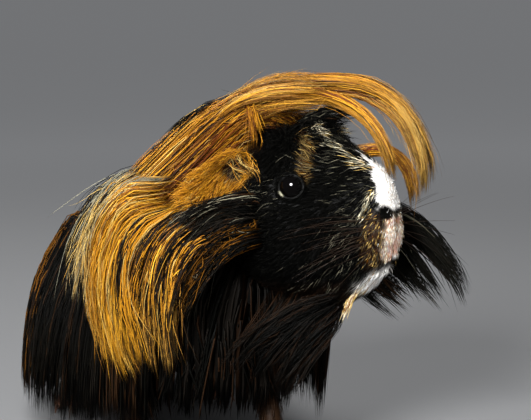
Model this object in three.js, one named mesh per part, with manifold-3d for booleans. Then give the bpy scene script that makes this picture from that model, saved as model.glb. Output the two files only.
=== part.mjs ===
// A long-haired guinea pig, life size, standing on its four feet, head raised and turned to its left.
// Millimetres, +Z up, the body along X with the rump towards -X, the floor at z = 0.
// Every solid is the outline of the fur. The coat's long masses (crest, forelocks, mane, skirts) are
// nodes of their own that lie against the body. The origin ends up under the middle of the bounding box.
import * as THREE from "three";
import { mergeVertices } from "three/addons/utils/BufferGeometryUtils.js";
import Module from "manifold-3d";

const wasm = await Module();
wasm.setup();

// ---- driving dimensions -------------------------------------------------------------------------
const GAP = 0.35; // clearance between neighbouring solids
const GROW_ROUNDS = 24; // steps in which a corner settles at that clearance
const EYE_HEIGHT = 110; // the eyes above the floor, with the head raised
const HEAD_AT = [23, 43, EYE_HEIGHT]; // the middle of the head between the eyes
const HEAD_YAW = 45; // degrees that the head is turned to the animal's left
const HEAD_BACK = -40; // the head's back end, behind the eyes
const HEAD_FRONT = 33.4; // the front of the nose, ahead of the eyes
const MUZZLE_CUT = 17; // where the muzzle leaves the cheeks
const MOUTH_LEVEL = -30; // the mouth below the eyes
const MOUTH_SLOPE = 0.16; // how the mouth line rises towards the nose
const EYE = { radius: 5.4, ahead: -1.3, aside: 17.8, up: -0.6 };
const NOSTRIL = { ahead: 32, aside: 6.6, up: -9.6 };
const BROW_DISH = 1.5; // how far the hollow round an eye is wider than the eye
const EAR = { length: 29, width: 21, thick: 2.6, cup: 4.5, droop: 5 };
const LOCK_PITCH = 17; // distance between the grooves that part a hanging sheet of hair into locks
const LOCK_GROOVE = 1.6; // depth of those grooves
const LOCK_TIP = 7; // how far a lock's tip hangs below the grooves beside it
const FALL_DROP = 90; // the length of the hair that falls beside the neck
const SPINE_END = 190; // length of the body's middle line, from the rump into the head
const NECK_CUT = 150; // stations along the spine where the trunk is parted
const SHOULDER_CUT = 101;
const RUMP_CUT = 50;
const FORE_FOOT = { length: 19, width: 10.5, height: 8.5, toes: 4, claw: 4.2 };
const HIND_FOOT = { length: 37, width: 12, height: 9.5, toes: 3, claw: 5.2 };
const SKIRT = { top: 78, hem: 7 };
const BIB = { top: 74, hem: 22, thick: 7 };

const COLOURS = {
  black: { color: 0x17130f, roughness: 0.62 },
  gold: { color: 0xc07a1e, roughness: 0.58 },
  straw: { color: 0xd8ab5c, roughness: 0.55 },
  brown: { color: 0x3a2413, roughness: 0.7 },
  white: { color: 0xe9e2d6, roughness: 0.7 },
  skin: { color: 0x5d4338, roughness: 0.6 },
  eye: { color: 0x050404, roughness: 0.06 },
};

// ---- small tools --------------------------------------------------------------------------------
const point = (x, y, z) => new THREE.Vector3(x, y, z);
const points = (rows) => rows.map((row) => point(...row));
const curve = (rows) => new THREE.CatmullRomCurve3(points(rows), false, "centripetal");
const UP = point(0, 0, 1);
/** The unit vector nearest to a direction that is square to an axis. */
const squareTo = (direction, axis) =>
  direction.clone().addScaledVector(axis, -direction.dot(axis)).normalize();

/** A smooth function through rows of [place, value, value, ...], which returns the values at a place. */
function table(rows) {
  const slope = (i, k) => {
    const a = rows[Math.max(i - 1, 0)];
    const b = rows[Math.min(i + 1, rows.length - 1)];
    return (b[k] - a[k]) / (b[0] - a[0]);
  };
  return (place) => {
    const s = THREE.MathUtils.clamp(place, rows[0][0], rows.at(-1)[0]);
    const i = Math.min(rows.findLastIndex((row) => row[0] <= s), rows.length - 2);
    const span = rows[i + 1][0] - rows[i][0];
    const f = (s - rows[i][0]) / span;
    return rows[i].slice(1).map((value, j) => {
      const k = j + 1;
      const next = rows[i + 1][k];
      const swing = f * (1 - f) * span;
      const blend = value + (next - value) * f * f * (3 - 2 * f);
      return blend + swing * (slope(i, k) * (1 - f) - slope(i + 1, k) * f);
    });
  };
}

/** From 0 at both ends of a loft to 1 between its rounded caps, which take shares a and b of its length. */
function rounding(t, a, b) {
  const start = Math.max(0, 1 - t / a);
  const end = Math.max(0, 1 - (1 - t) / b);
  return Math.sqrt(Math.max(0, 1 - start * start)) * Math.sqrt(Math.max(0, 1 - end * end));
}

/**
 * A closed surface along a curve. ring(t) gives the half width, the height above and the depth below the
 * curve, a pinch that narrows the upper half, and a factor that closes the ends. Without a side vector its
 * sections stand upright; with one they are square to the curve, and side is the direction of their width.
 */
function loft(path, ring, { side = null, around = 20, steps = 18 } = {}) {
  const geometry = new THREE.SphereGeometry(1, around, steps);
  const position = geometry.getAttribute("position");
  const p = point(0, 0, 0);
  for (let i = 0; i < position.count; i++) {
    p.fromBufferAttribute(position, i);
    const t = (1 - p.y) / 2;
    const girth = Math.hypot(p.x, p.z);
    const across = girth > 1e-6 ? p.x / girth : 0;
    const rise = girth > 1e-6 ? p.z / girth : 0;
    const [wide, above, below, pinch, cap] = ring(t);
    const tangent = path.getTangentAt(t);
    if (!side) tangent.setZ(0).normalize();
    const left = side ? squareTo(side, tangent) : UP.clone().cross(tangent);
    const top = tangent.clone().cross(left);
    const narrowed = 1 - pinch * (0.5 + 0.5 * rise);
    const at = path
      .getPointAt(t)
      .addScaledVector(left, wide * cap * across * narrowed)
      .addScaledVector(top, (rise > 0 ? above : below) * cap * rise);
    position.setXYZ(i, at.x, at.y, at.z);
  }
  return solid(geometry);
}

/** A closed plate: a box's grid moved by shape(along, through, height), each from 0 to 1. */
function plate(shape, cellsAlong, cellsUp) {
  const geometry = new THREE.BoxGeometry(1, 1, 1, cellsAlong, 1, cellsUp);
  const position = geometry.getAttribute("position");
  for (let i = 0; i < position.count; i++) {
    const at = shape(position.getX(i) + 0.5, position.getY(i) + 0.5, position.getZ(i) + 0.5);
    position.setXYZ(i, at.x, at.y, at.z);
  }
  return solid(geometry);
}

/** The closed solid of a three.js geometry. */
function solid(geometry) {
  const bare = geometry.clone().deleteAttribute("normal").deleteAttribute("uv");
  const merged = mergeVertices(bare, 1e-3);
  const mesh = new wasm.Mesh({
    numProp: 3,
    vertProperties: new Float32Array(merged.getAttribute("position").array),
    triVerts: new Uint32Array(merged.index.array),
  });
  return new wasm.Manifold(mesh);
}

/** A three.js geometry of a solid, with its vertices shared. */
function geometryOf(body) {
  const { vertProperties, triVerts } = body.getMesh();
  const geometry = new THREE.BufferGeometry();
  geometry.setAttribute("position", new THREE.BufferAttribute(vertProperties, 3));
  geometry.setIndex(new THREE.BufferAttribute(triVerts, 1));
  geometry.computeVertexNormals();
  return geometry;
}

/** A solid with the gap added all round: each vertex moves until it clears every face that meets there. */
function grown(body) {
  const geometry = geometryOf(body);
  const position = geometry.getAttribute("position");
  const corners = geometry.index.array;
  const vertex = (_, i) => point(0, 0, 0).fromBufferAttribute(position, i);
  const at = Array.from({ length: position.count }, vertex);
  const facing = at.map(() => []);
  for (let i = 0; i < corners.length; i += 3) {
    const face = [corners[i], corners[i + 1], corners[i + 2]];
    const normal = new THREE.Triangle(...face.map((corner) => at[corner])).getNormal(point(0, 0, 0));
    face.forEach((corner) => facing[corner].push(normal));
  }
  at.forEach((start, i) => {
    const offset = point(0, 0, 0);
    for (let round = 0; round < GROW_ROUNDS; round++) {
      for (const normal of facing[i]) {
        offset.addScaledVector(normal, Math.max(0, GAP - offset.dot(normal)));
      }
    }
    offset.add(start);
    position.setXYZ(i, offset.x, offset.y, offset.z);
  });
  return solid(geometry);
}

const moved = (body, matrix) => body.transform([...matrix.elements]);
const largest = (body) => body.decompose().sort((a, b) => b.volume() - a.volume())[0];
const keep = (body, normal, offset) => body.trimByPlane(normal, offset);
const less = (body, ...cutters) => largest(cutters.reduce((rest, cutter) => rest.subtract(cutter), body));

/** Adds a named mesh with one of the coat's colours to a group. */
function add(group, name, body, colour) {
  const material = new THREE.MeshStandardMaterial({ ...COLOURS[colour], metalness: 0 });
  const mesh = new THREE.Mesh(geometryOf(body), material);
  mesh.name = name;
  group.add(mesh);
}

// ---- the two frames: the body's, and the head's inside it ---------------------------------------
const pig = new THREE.Group();
const headGroup = new THREE.Group();
headGroup.position.set(...HEAD_AT);
headGroup.rotation.z = THREE.MathUtils.degToRad(HEAD_YAW);
pig.add(headGroup);
pig.updateMatrixWorld(true);
const headToBody = headGroup.matrixWorld.clone();
const HEAD_LEFT = point(0, 1, 0);
const rooms = []; // the shapes already in place, in the body's frame, each with the gap added round it

/** Adds a piece that gives way to all that is in place, and keeps its own room. */
function place(group, name, colour, whole) {
  const toBody = group.matrixWorld;
  const shape = less(moved(whole, toBody), ...rooms);
  add(group, name, moved(shape, toBody.clone().invert()), colour);
  rooms.push(moved(grown(whole), toBody));
}

// ---- the trunk and neck: one loft, parted by thin cuts ------------------------------------------
const spine = curve([
  [-147, 13, 42], // rump
  [-112, 7, 47], // hips
  [-72, 2, 52], // loin
  [-36, 3, 60], // shoulders
  [-12, 12, 77], // neck
  [2, 22, 96], // nape
  [12, 32, 104], // inside the head
]);

// station along the spine, half width, height above, depth below
const trunkRows = table([
  [0, 30, 30, 26],
  [38, 40, 38, 27],
  [79, 42, 41, 31],
  [116, 38, 39, 33],
  [146, 32, 35, 42],
  [172, 27, 26, 46],
  [SPINE_END, 20, 14, 40],
]);

function trunkLoft() {
  const ring = (t) => [...trunkRows(t * SPINE_END), 0.12, rounding(t, 0.2, 0.09)];
  return loft(spine, ring, { around: 18, steps: 17 });
}

/** A plane square to the level direction of the spine at a station, as a normal and an offset. */
function stationPlane(station) {
  const t = station / SPINE_END;
  const normal = spine.getTangentAt(t).setZ(0).normalize();
  return [normal, normal.dot(spine.getPointAt(t))];
}

/** The stretch of the trunk between two stations, with half a gap taken off at each cut. */
function trunkPiece(whole, from, to) {
  let piece = whole;
  if (from !== null) {
    const [normal, offset] = stationPlane(from);
    piece = keep(piece, normal.toArray(), offset + GAP / 2);
  }
  if (to !== null) {
    const [normal, offset] = stationPlane(to);
    piece = keep(piece, normal.clone().negate().toArray(), -offset + GAP / 2);
  }
  return largest(piece);
}

// ---- the head -----------------------------------------------------------------------------------
// distance ahead of the eyes, top, level of the widest part and bottom of the fur, half width, pinch
const headRows = table([
  [HEAD_BACK, 13, -12, -28, 22, 0.15],
  [-30, 19, -14, -36, 28, 0.2],
  [-20, 23, -17, -42, 31.5, 0.26],
  [-10, 24.5, -19, -45, 32, 0.3],
  [0, 23.5, -20, -46.5, 30.5, 0.32],
  [8, 20, -21, -46.5, 27, 0.34],
  [16, 14.5, -21.5, -44.5, 21.5, 0.34],
  [24, 9, -21, -38.5, 16.5, 0.34],
  [29, 4.5, -19, -32, 13.8, 0.32],
  [HEAD_FRONT, -1.5, -16, -24, 11.2, 0.25],
]);

function headLoft() {
  const reach = HEAD_FRONT - HEAD_BACK;
  const rows = (t) => headRows(HEAD_BACK + t * reach);
  const steps = Array.from({ length: 16 }, (_, i) => i / 15);
  const line = steps.map((t) => [HEAD_BACK + t * reach, 0, rows(t)[1]]);
  const path = new THREE.CatmullRomCurve3(points(line));
  // the widest level wanders a little, so a ring's place is read from the curve itself
  const ring = (t) => {
    const [top, level, bottom, wide, pinch] = headRows(path.getPointAt(t).x);
    return [wide, top - level, level - bottom, pinch, rounding(t, 0.22, 0.07)];
  };
  return loft(path, ring, { around: 20, steps: 16 });
}

/** A ball at one of the eyes: side is 1 on the left and -1 on the right. */
function eyeBall(side, radius, detail) {
  const ball = new THREE.SphereGeometry(radius, detail, detail / 2);
  ball.rotateX(Math.PI / 2);
  ball.translate(EYE.ahead, side * EYE.aside, EYE.up);
  return solid(ball);
}

/** The shallow hollow in the fur round an eye. */
function eyeDish(side) {
  const dish = new THREE.SphereGeometry(1, 12, 8);
  dish.scale(EYE.radius + BROW_DISH, 3.2, EYE.radius + BROW_DISH - 0.4);
  dish.rotateZ(side * -0.18);
  dish.translate(EYE.ahead, side * (EYE.aside + 5.6), EYE.up - 0.3);
  return solid(dish);
}

/** A nostril's slit in the side of the nose. */
function nostril(side) {
  const slit = new THREE.SphereGeometry(1, 8, 6);
  slit.scale(3.4, 1.6, 1.5);
  slit.rotateY(0.35);
  slit.rotateZ(side * -0.75);
  slit.translate(NOSTRIL.ahead, side * NOSTRIL.aside, NOSTRIL.up);
  return solid(slit);
}

/** A petal-shaped ear that leaves the side of the head, cups forwards and droops back at its tip. */
function earPetal(side) {
  const root = point(-18, side * 18.5, 10);
  const out = point(-0.7, side * 0.45, -0.55).normalize();
  const facing = squareTo(point(0.5, side * 0.8, -0.33), out);
  const across = facing.clone().cross(out);
  const geometry = new THREE.SphereGeometry(1, 12, 8);
  const position = geometry.getAttribute("position");
  for (let i = 0; i < position.count; i++) {
    const [x, y, z] = [position.getX(i), position.getY(i), position.getZ(i)];
    const t = (1 - y) / 2;
    const half = (EAR.width / 2) * (0.75 + 0.45 * t - 0.25 * t * t);
    const cupped = EAR.cup * (1 - x * x) * Math.sin(Math.PI * Math.min(t + 0.15, 1));
    const at = root
      .clone()
      .addScaledVector(out, EAR.length * t)
      .addScaledVector(across, half * x)
      .addScaledVector(facing, (EAR.thick / 2) * z - cupped)
      .addScaledVector(UP, -EAR.droop * t * t);
    position.setXYZ(i, at.x, at.y, at.z);
  }
  return solid(geometry);
}

// ---- long hair that stands clear of the head, each a tapered lock along its own middle line -----
/** A lock: half width across the head and half thickness in its own plane, both tapering to a tip. */
function lock({ route, wide, thick, blunt = 0.1, tip = 0.3, steps = 16, around = 12 }) {
  const ring = (t) => {
    const narrowed = 1 - tip * t;
    return [wide * narrowed, thick * narrowed, thick * narrowed, 0, rounding(t, 0.12, blunt)];
  };
  return loft(curve(route), ring, { side: HEAD_LEFT, around, steps });
}

const LOCKS = {
  crest: {
    route: [
      [-65, 5, -5], [-57, 4, 3.4], [-44.5, 2, 14.5], [-32, -1, 23.2],
      [-20, -3, 29.8], [-7, -3, 33.2], [9, -1, 33.2],
    ],
    wide: 17, thick: 7.5, blunt: 0.06, tip: 0.1, steps: 12, around: 12, colour: "gold",
  },
  forelock_outer: {
    route: [[7.2, 3, 35.3], [20, 5.5, 33.8], [30, 7.5, 27], [37, 8, 16], [40.5, 7.5, 5], [41, 6.5, -5]],
    wide: 8, thick: 3.6, blunt: 0.4, tip: 0.45, steps: 13, around: 8, colour: "straw",
  },
  forelock_inner: {
    route: [[7.5, -4, 29.6], [16.5, -4, 27.5], [24, -4, 22.5], [29.8, -4.5, 13.5], [33.5, -5, 1.5]],
    wide: 5.5, thick: 2.6, blunt: 0.35, tip: 0.35, steps: 10, around: 8, colour: "gold",
  },
  brow_tuft: {
    route: [[-6, 2, 21], [3, 2.5, 24.5], [10, 3, 26.3], [15, 3.5, 26]],
    wide: 7, thick: 3.6, blunt: 0.5, tip: 0.5, steps: 6, around: 8, colour: "black",
  },
  temple_lock: {
    route: [[-4, 17, 9], [8, 20, 9.5], [18, 21, 10.5], [26, 21.5, 5.5], [29.5, 22, -4], [30, 22.5, -13]],
    wide: 3.2, thick: 2.4, blunt: 0.3, tip: 0.3, steps: 10, around: 6, colour: "gold",
  },
  cheek_lock: {
    route: [
      [7, 19, -11], [17, 24, -17], [26, 27.5, -25],
      [33, 30, -33.5], [39.5, 32.5, -43], [44, 34, -52],
    ],
    wide: 4.2, thick: 10, blunt: 0.5, tip: 0.45, steps: 10, around: 10, colour: "black",
  },
  jowl_lock: {
    route: [[2, 17, -26], [12, 21, -35], [21, 25, -43], [29.5, 28.5, -51.5]],
    wide: 4.6, thick: 10, blunt: 0.5, tip: 0.35, steps: 8, around: 10, colour: "black",
  },
};

// ---- long hair that hangs round the neck and the body -------------------------------------------
/** How proud a sheet of hair is at a share of its length: 1 along a lock's middle, 0 in its grooves. */
const proud = (share, length) =>
  Math.abs(Math.sin(Math.PI * share * Math.round(length / LOCK_PITCH)));

/** The number of grid cells along a sheet of hair, two to each lock. */
const cells = (length) => 2 * Math.round(length / LOCK_PITCH);

// height above the floor, the middle of the throat and chest there, and the radius of the bib's outside
const bibRows = table([
  [BIB.hem, -20, 7, 40],
  [45, -20, 7, 42],
  [62, -19, 8, 43],
  [BIB.top, -15, 11, 41],
]);

/** The hair that hangs from the throat and chest, between two headings in degrees from straight ahead. */
function bib(from, to) {
  const length = THREE.MathUtils.degToRad(to - from) * bibRows(BIB.hem)[2];
  const shape = (along, through, height) => {
    const ridge = proud(along, length);
    const hem = BIB.hem + LOCK_TIP * (1 - ridge);
    const z = THREE.MathUtils.lerp(hem, BIB.top, height);
    const heading = THREE.MathUtils.degToRad(THREE.MathUtils.lerp(from, to, along));
    const [x, y, radius] = bibRows(z);
    const taper = 0.5 + 0.5 * Math.sin(Math.PI * Math.min(1, 0.2 + height * 0.6));
    const outside = radius - LOCK_GROOVE * (1 - ridge);
    // through runs from the outside in, so that the grid keeps its handedness
    const out = outside - BIB.thick * taper * through;
    return point(x + out * Math.cos(heading), y + out * Math.sin(heading), z);
  };
  return plate(shape, cells(length), 4);
}

const FALLS = {
  // the long fall from the nape and cheek that hangs in front of the right shoulder
  mane_right: {
    rear: [[-9, -12, 115], [-3, -31, 102], [-1, -39, 85], [2, -38, 72], [4, -32, 55], [5, -26, 34]],
    front: [[25, 5, 100], [24, 7, 90], [19, 5, 78], [15, -6, 62], [15, -5, 46], [14, -7, 34]],
    bulge: 0.22, thick: 14, length: 58, colour: "gold",
  },
  mane_left: {
    rear: [[-32, 18, 112], [-38, 34, 96], [-37, 43, 78], [-34, 45, 58], [-31, 44, 34]],
    front: [[-8, 47, 108], [-1, 53, 94], [4, 52, 76], [5, 47, 56], [3, 43, 34]],
    bulge: -0.16, thick: 11, length: 52, colour: "black",
  },
};

/**
 * A fall of hair between its rear and front edges, each a curve from root to tip. It bulges away from the
 * neck by a share of its width, which is positive on the right and negative on the left.
 */
function fall({ rear, front, bulge, thick, length }) {
  const [back, fore] = [curve(rear), curve(front)];
  const shape = (along, through, height) => {
    const ridge = proud(along, length);
    const down = (1 - height) * (1 - (LOCK_TIP / FALL_DROP) * (1 - ridge));
    const start = back.getPointAt(down);
    const across = fore.getPointAt(down).sub(start);
    const outward = across.clone().cross(UP).normalize();
    const taper = 0.45 + 0.55 * Math.sin(Math.PI * Math.min(1, 0.25 + height * 0.5));
    const rise = bulge * across.length() * Math.sin(Math.PI * along);
    const arch = rise - Math.sign(bulge) * LOCK_GROOVE * (1 - ridge);
    const layer = (thick / 2) * taper * (1 - 2 * through);
    return start.addScaledVector(across, along).addScaledVector(outward, arch + layer);
  };
  return plate(shape, cells(length), 6);
}

// the line that the body's long coat hangs along, seen from above
const hemLine = curve([
  [-10, -26, 0],
  [-38, -36, 0],
  [-72, -40, 0],
  [-110, -35, 0],
  [-138, -17, 0],
  [-147, 10, 0],
  [-137, 36, 0],
  [-108, 47, 0],
  [-72, 44, 0],
  [-42, 41, 0],
  [-20, 43, 0],
]);
const HEM_LENGTH = hemLine.getLength();
// share of the height, and how far the coat's outside and its inside stand out from the hem line
const skirtRows = table([
  [0, 10, 5],
  [0.2, 9.5, 2],
  [0.47, 7.5, -2],
  [0.73, 3, -8],
  [1, -8, -20],
]);
// share of the hem line, and the height of the coat's upper edge, where it meets the back
const skirtTops = table([
  [0, SKIRT.top - 8],
  [0.3, SKIRT.top],
  [0.5, SKIRT.top - 13],
  [0.7, SKIRT.top],
  [1, SKIRT.top - 2],
]);

/** A stretch of the hanging coat between two shares of the hem line. */
function skirt(from, to) {
  const length = (to - from) * HEM_LENGTH;
  const shape = (along, through, height) => {
    const s = THREE.MathUtils.lerp(from, to, along);
    const ridge = proud(along, length);
    const hem = SKIRT.hem + LOCK_TIP * (1 - ridge);
    const z = THREE.MathUtils.lerp(hem, skirtTops(s)[0], height);
    const outward = hemLine.getTangentAt(s).cross(UP).negate();
    const [outside, inside] = skirtRows(height);
    const groove = LOCK_GROOVE * (1 - ridge) * (1 - height);
    const out = THREE.MathUtils.lerp(inside, outside - groove, through);
    return hemLine.getPointAt(s).addScaledVector(outward, out).setZ(z);
  };
  return plate(shape, cells(length), 4);
}

// ---- legs and feet ------------------------------------------------------------------------------
const ACROSS = point(0, 1, 0); // the direction of the width of legs, toes and claws
const CLAW = { wide: 0.95, deep: 1.1, tip: 0.7 }; // a claw's half width, half depth, and its tip's height
const ANKLE_SINK = 1.2; // how far below the top of the foot the leg is cut off

/** A leg from inside the body down to its ankle, cut level above the foot. */
function leg({ route, top, ankle }, cutHeight) {
  const ring = (t) => {
    const girth = THREE.MathUtils.lerp(top, ankle, Math.min(1, t * 1.25));
    return [girth, girth * 1.15, girth * 1.15, 0, rounding(t, 0.1, 0.05)];
  };
  const whole = loft(curve(route), ring, { side: ACROSS, around: 8, steps: 5 });
  return keep(whole, [0, 0, 1], cutHeight + GAP);
}

/** A foot with its toes and claws, pointing along +X from its heel, with a flat sole at z = 0. */
function footShape({ length, width, height, toes, claw }, cutHeight) {
  const pad = 0.5; // how far the sole is cut back to make it flat
  const toeLength = length * 0.42;
  const palm = loft(
    curve([[0, 0, height * 0.5], [length * 0.35, 0, height * 0.4], [length * 0.72, 0, height * 0.3]]),
    (t) => {
      const wide = (width / 2) * (0.72 + 0.28 * t);
      const high = height * (0.56 - 0.24 * t);
      return [wide, high, high, 0, rounding(t, 0.2, 0.25)];
    },
    { around: 8, steps: 5 },
  );
  let whole = palm;
  for (let i = 0; i < toes; i++) {
    const spread = i / (toes - 1) - 0.5;
    const y = spread * width * 0.86;
    const reach = length * (0.94 - 0.34 * spread * spread);
    const radius = width / toes / 1.75;
    const lean = spread * 3.2;
    const toe = loft(
      curve([
        [reach - toeLength, y * 0.8, radius * 1.5],
        [reach - toeLength / 2, y, radius * 1.35],
        [reach, y + lean, radius],
      ]),
      (t) => [radius, radius, radius, 0, rounding(t, 0.2, 0.2)],
      { side: ACROSS, around: 5, steps: 3 },
    );
    const nail = loft(
      curve([
        [reach - 1.5, y + lean * 0.9, radius],
        [reach + claw * 0.45, y + lean * 1.2, radius * 0.9],
        [reach + claw, y + lean * 1.4, CLAW.tip],
      ]),
      (t) => {
        const taper = 1 - 0.6 * t;
        const deep = CLAW.deep * taper;
        return [CLAW.wide * taper, deep, deep, 0, rounding(t, 0.15, 0.2)];
      },
      { side: ACROSS, around: 4, steps: 2 },
    );
    whole = whole.add(toe).add(nail);
  }
  const lowered = whole.translate([0, 0, -pad]);
  return largest(keep(keep(lowered, [0, 0, 1], 0), [0, 0, -1], -cutHeight));
}

const LEGS = {
  fore_right: {
    route: [[-20, -19, 52], [-14, -21, 34], [-4, -22, 16], [-1, -22, 6]],
    top: 12, ankle: 4.6, foot: FORE_FOOT, heel: [-5, -22], yaw: -4,
  },
  fore_left: {
    route: [[-14, 27, 52], [-8, 29, 34], [3, 31, 16], [6, 32, 6]],
    top: 12, ankle: 4.6, foot: FORE_FOOT, heel: [2, 32], yaw: 18,
  },
  hind_right: {
    route: [[-90, -18, 46], [-94, -23, 30], [-112, -22, 16], [-119, -21, 6]],
    top: 17, ankle: 5.6, foot: HIND_FOOT, heel: [-122, -21], yaw: -12,
  },
  hind_left: {
    route: [[-90, 28, 46], [-94, 34, 30], [-112, 36, 16], [-118, 37, 6]],
    top: 17, ankle: 5.6, foot: HIND_FOOT, heel: [-121, 37], yaw: -2,
  },
};

// ---- putting it together ------------------------------------------------------------------------
const SIDES = [["right", -1], ["left", 1]];

function buildTrunk() {
  const whole = trunkLoft();
  const headRoom = moved(grown(headLoft()), headToBody);
  const pieces = [
    ["rump", null, RUMP_CUT],
    ["trunk", RUMP_CUT, SHOULDER_CUT],
    ["shoulders", SHOULDER_CUT, NECK_CUT],
    ["neck", NECK_CUT, null],
  ];
  for (const [name, from, to] of pieces) {
    add(pig, name, less(trunkPiece(whole, from, to), headRoom), "black");
  }
  rooms.push(grown(whole), headRoom);
}

function buildHead() {
  let skull = headLoft();
  for (const [, side] of SIDES) {
    skull = skull.subtract(eyeDish(side)).subtract(eyeBall(side, EYE.radius + GAP, 14));
    skull = skull.subtract(nostril(side));
  }
  const behind = keep(skull, [-1, 0, 0], -MUZZLE_CUT + GAP / 2);
  const front = keep(skull, [1, 0, 0], MUZZLE_CUT + GAP / 2);
  const mouth = point(-MOUTH_SLOPE, 0, 1).normalize();
  const mouthOffset = mouth.dot(point(HEAD_FRONT, 0, MOUTH_LEVEL));
  const upper = keep(front, mouth.toArray(), mouthOffset + GAP / 2);
  const lower = keep(front, mouth.clone().negate().toArray(), -mouthOffset + GAP / 2);
  add(headGroup, "head", largest(behind), "black");
  add(headGroup, "muzzle", largest(upper), "white");
  add(headGroup, "lower_jaw", largest(lower), "white");
  for (const [word, side] of SIDES) add(headGroup, `eye_${word}`, eyeBall(side, EYE.radius, 14), "eye");
  for (const [word, side] of SIDES) place(headGroup, `ear_${word}`, "skin", earPetal(side));
}

function buildLocks() {
  for (const [name, made] of Object.entries(LOCKS)) place(headGroup, name, made.colour, lock(made));
}

function buildLegs() {
  for (const [name, made] of Object.entries(LEGS)) {
    const ankle = made.foot.height - ANKLE_SINK;
    place(pig, `${name}_leg`, "black", leg(made, ankle));
    const turned = new THREE.Matrix4().makeRotationZ(THREE.MathUtils.degToRad(made.yaw));
    turned.setPosition(made.heel[0], made.heel[1], 0);
    add(pig, `${name}_foot`, moved(footShape(made.foot, ankle), turned), "skin");
  }
}

function buildHangingCoat() {
  for (const [name, made] of Object.entries(FALLS)) place(pig, name, made.colour, fall(made));
  place(pig, "bib", "brown", bib(-62, 74));
  place(pig, "skirt_right", "black", skirt(0, 0.38));
  place(pig, "skirt_rump", "black", skirt(0.38, 0.62));
  place(pig, "skirt_left", "black", skirt(0.62, 0.95));
}

buildTrunk();
buildHead();
buildLocks();
buildLegs();
buildHangingCoat();

// ---- the origin goes under the middle of the bounding box, on the floor -------------------------
const root = new THREE.Group();
root.add(pig);
root.updateMatrixWorld(true);
const reach = new THREE.Box3().setFromObject(root, true);
const middle = reach.getCenter(point(0, 0, 0));
pig.position.set(-middle.x, -middle.y, -reach.min.z);
root.updateMatrixWorld(true);

export default root;
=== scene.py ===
"""The looks of a long-haired guinea pig: one skin, glossy eyes, claws, whiskers and a coat of solid hairs.

Lengths are in millimetres in the animal's own frame (X along the body, Y to its left, Z up, the floor at
z = 0), or in the head's frame, whose middle lies between the eyes. They become metres when a mesh is made.
"""

import logging
import math
from dataclasses import dataclass, field, replace
from enum import Enum
from typing import Any, Callable, Iterable, Optional, Sequence, Union

import bmesh
import bpy
import numpy as np
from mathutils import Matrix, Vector
from mathutils.bvhtree import BVHTree


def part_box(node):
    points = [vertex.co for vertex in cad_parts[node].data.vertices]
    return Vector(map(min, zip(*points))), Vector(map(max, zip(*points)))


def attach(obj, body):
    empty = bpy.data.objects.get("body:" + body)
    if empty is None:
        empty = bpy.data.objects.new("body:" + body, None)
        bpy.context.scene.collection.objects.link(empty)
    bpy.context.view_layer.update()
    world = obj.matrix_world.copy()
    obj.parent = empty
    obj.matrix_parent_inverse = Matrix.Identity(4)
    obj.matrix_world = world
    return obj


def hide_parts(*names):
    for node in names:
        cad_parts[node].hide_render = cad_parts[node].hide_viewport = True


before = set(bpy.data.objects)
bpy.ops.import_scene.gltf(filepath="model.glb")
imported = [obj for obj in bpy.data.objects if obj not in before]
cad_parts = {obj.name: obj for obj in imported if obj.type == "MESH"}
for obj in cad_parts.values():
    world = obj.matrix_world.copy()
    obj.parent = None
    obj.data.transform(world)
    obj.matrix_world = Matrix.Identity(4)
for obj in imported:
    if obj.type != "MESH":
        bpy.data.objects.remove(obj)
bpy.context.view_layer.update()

Array = np.ndarray
Point = tuple[float, float, float]
Log = logging.getLogger("guinea_pig")

MM = 0.001
BODY = "root"
EYE = {"radius": 5.4, "ahead": -1.3, "aside": 17.8, "up": -0.6}
HEAD_AT = np.array([23.0, 43.0, 110.0])
HEAD_YAW = math.radians(45)
FLESH = ("head", "muzzle", "lower_jaw", "ear_right", "ear_left", "neck", "shoulders", "trunk", "rump")
LEG_NAMES = ("fore_right", "fore_left", "hind_right", "hind_left")


# ---- colours and finishes -------------------------------------------------------------------------
class Slot(Enum):
    """The pieces' material slots."""

    DARK = "dark_fur"
    GOLD = "gold_fur"
    WHITE = "white_fur"
    FOOT = "foot_skin"
    EYE = "eye"


def tone(red: int, green: int, blue: int) -> Array:
    """A linear colour from one that is written in display values from 0 to 255."""
    shown = np.array([red, green, blue], float) / 255
    return np.where(shown <= 0.04045, shown / 12.92, ((shown + 0.055) / 1.055) ** 2.4)


BLACK = tone(5, 5, 4)
SOOT = tone(18, 15, 12)
UMBER = tone(46, 29, 16)
RUSSET = tone(92, 44, 12)
BRONZE = tone(128, 80, 18)
GOLD = tone(174, 117, 22)
AMBER = tone(194, 140, 36)
STRAW = tone(196, 164, 96)
FLAX = tone(178, 146, 78)
TAN = tone(120, 98, 56)
ASH = tone(136, 132, 112)
CREAM = tone(238, 224, 192)
WHITE = tone(248, 244, 238)
PINK = tone(226, 178, 158)
ROSE = tone(168, 118, 102)
LEATHER = tone(96, 66, 52)


# ---- numbers, curves and frames -------------------------------------------------------------------
def smooth(value: Array, low: float, high: float) -> Array:
    """A soft step of a value from 0 at low to 1 at high, which may be the smaller of the two."""
    share = np.clip((np.asarray(value, float) - low) / (high - low), 0, 1)
    return share * share * (3 - 2 * share)


def unit(vectors: Array) -> Array:
    """Vectors along the last axis, made one long."""
    return vectors / np.maximum(np.linalg.norm(vectors, axis=-1, keepdims=True), 1e-9)


def mixed(first: Array, second: Array, share: Array) -> Array:
    """Rows of one colour or point moved towards another by a share for each row."""
    weight = np.asarray(share, float)[..., None]
    return first * (1 - weight) + second * weight


def columns(*values: Any) -> Array:
    """Numbers and arrays of one shape, side by side along a new last axis."""
    return np.stack(np.broadcast_arrays(*values), -1)


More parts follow.
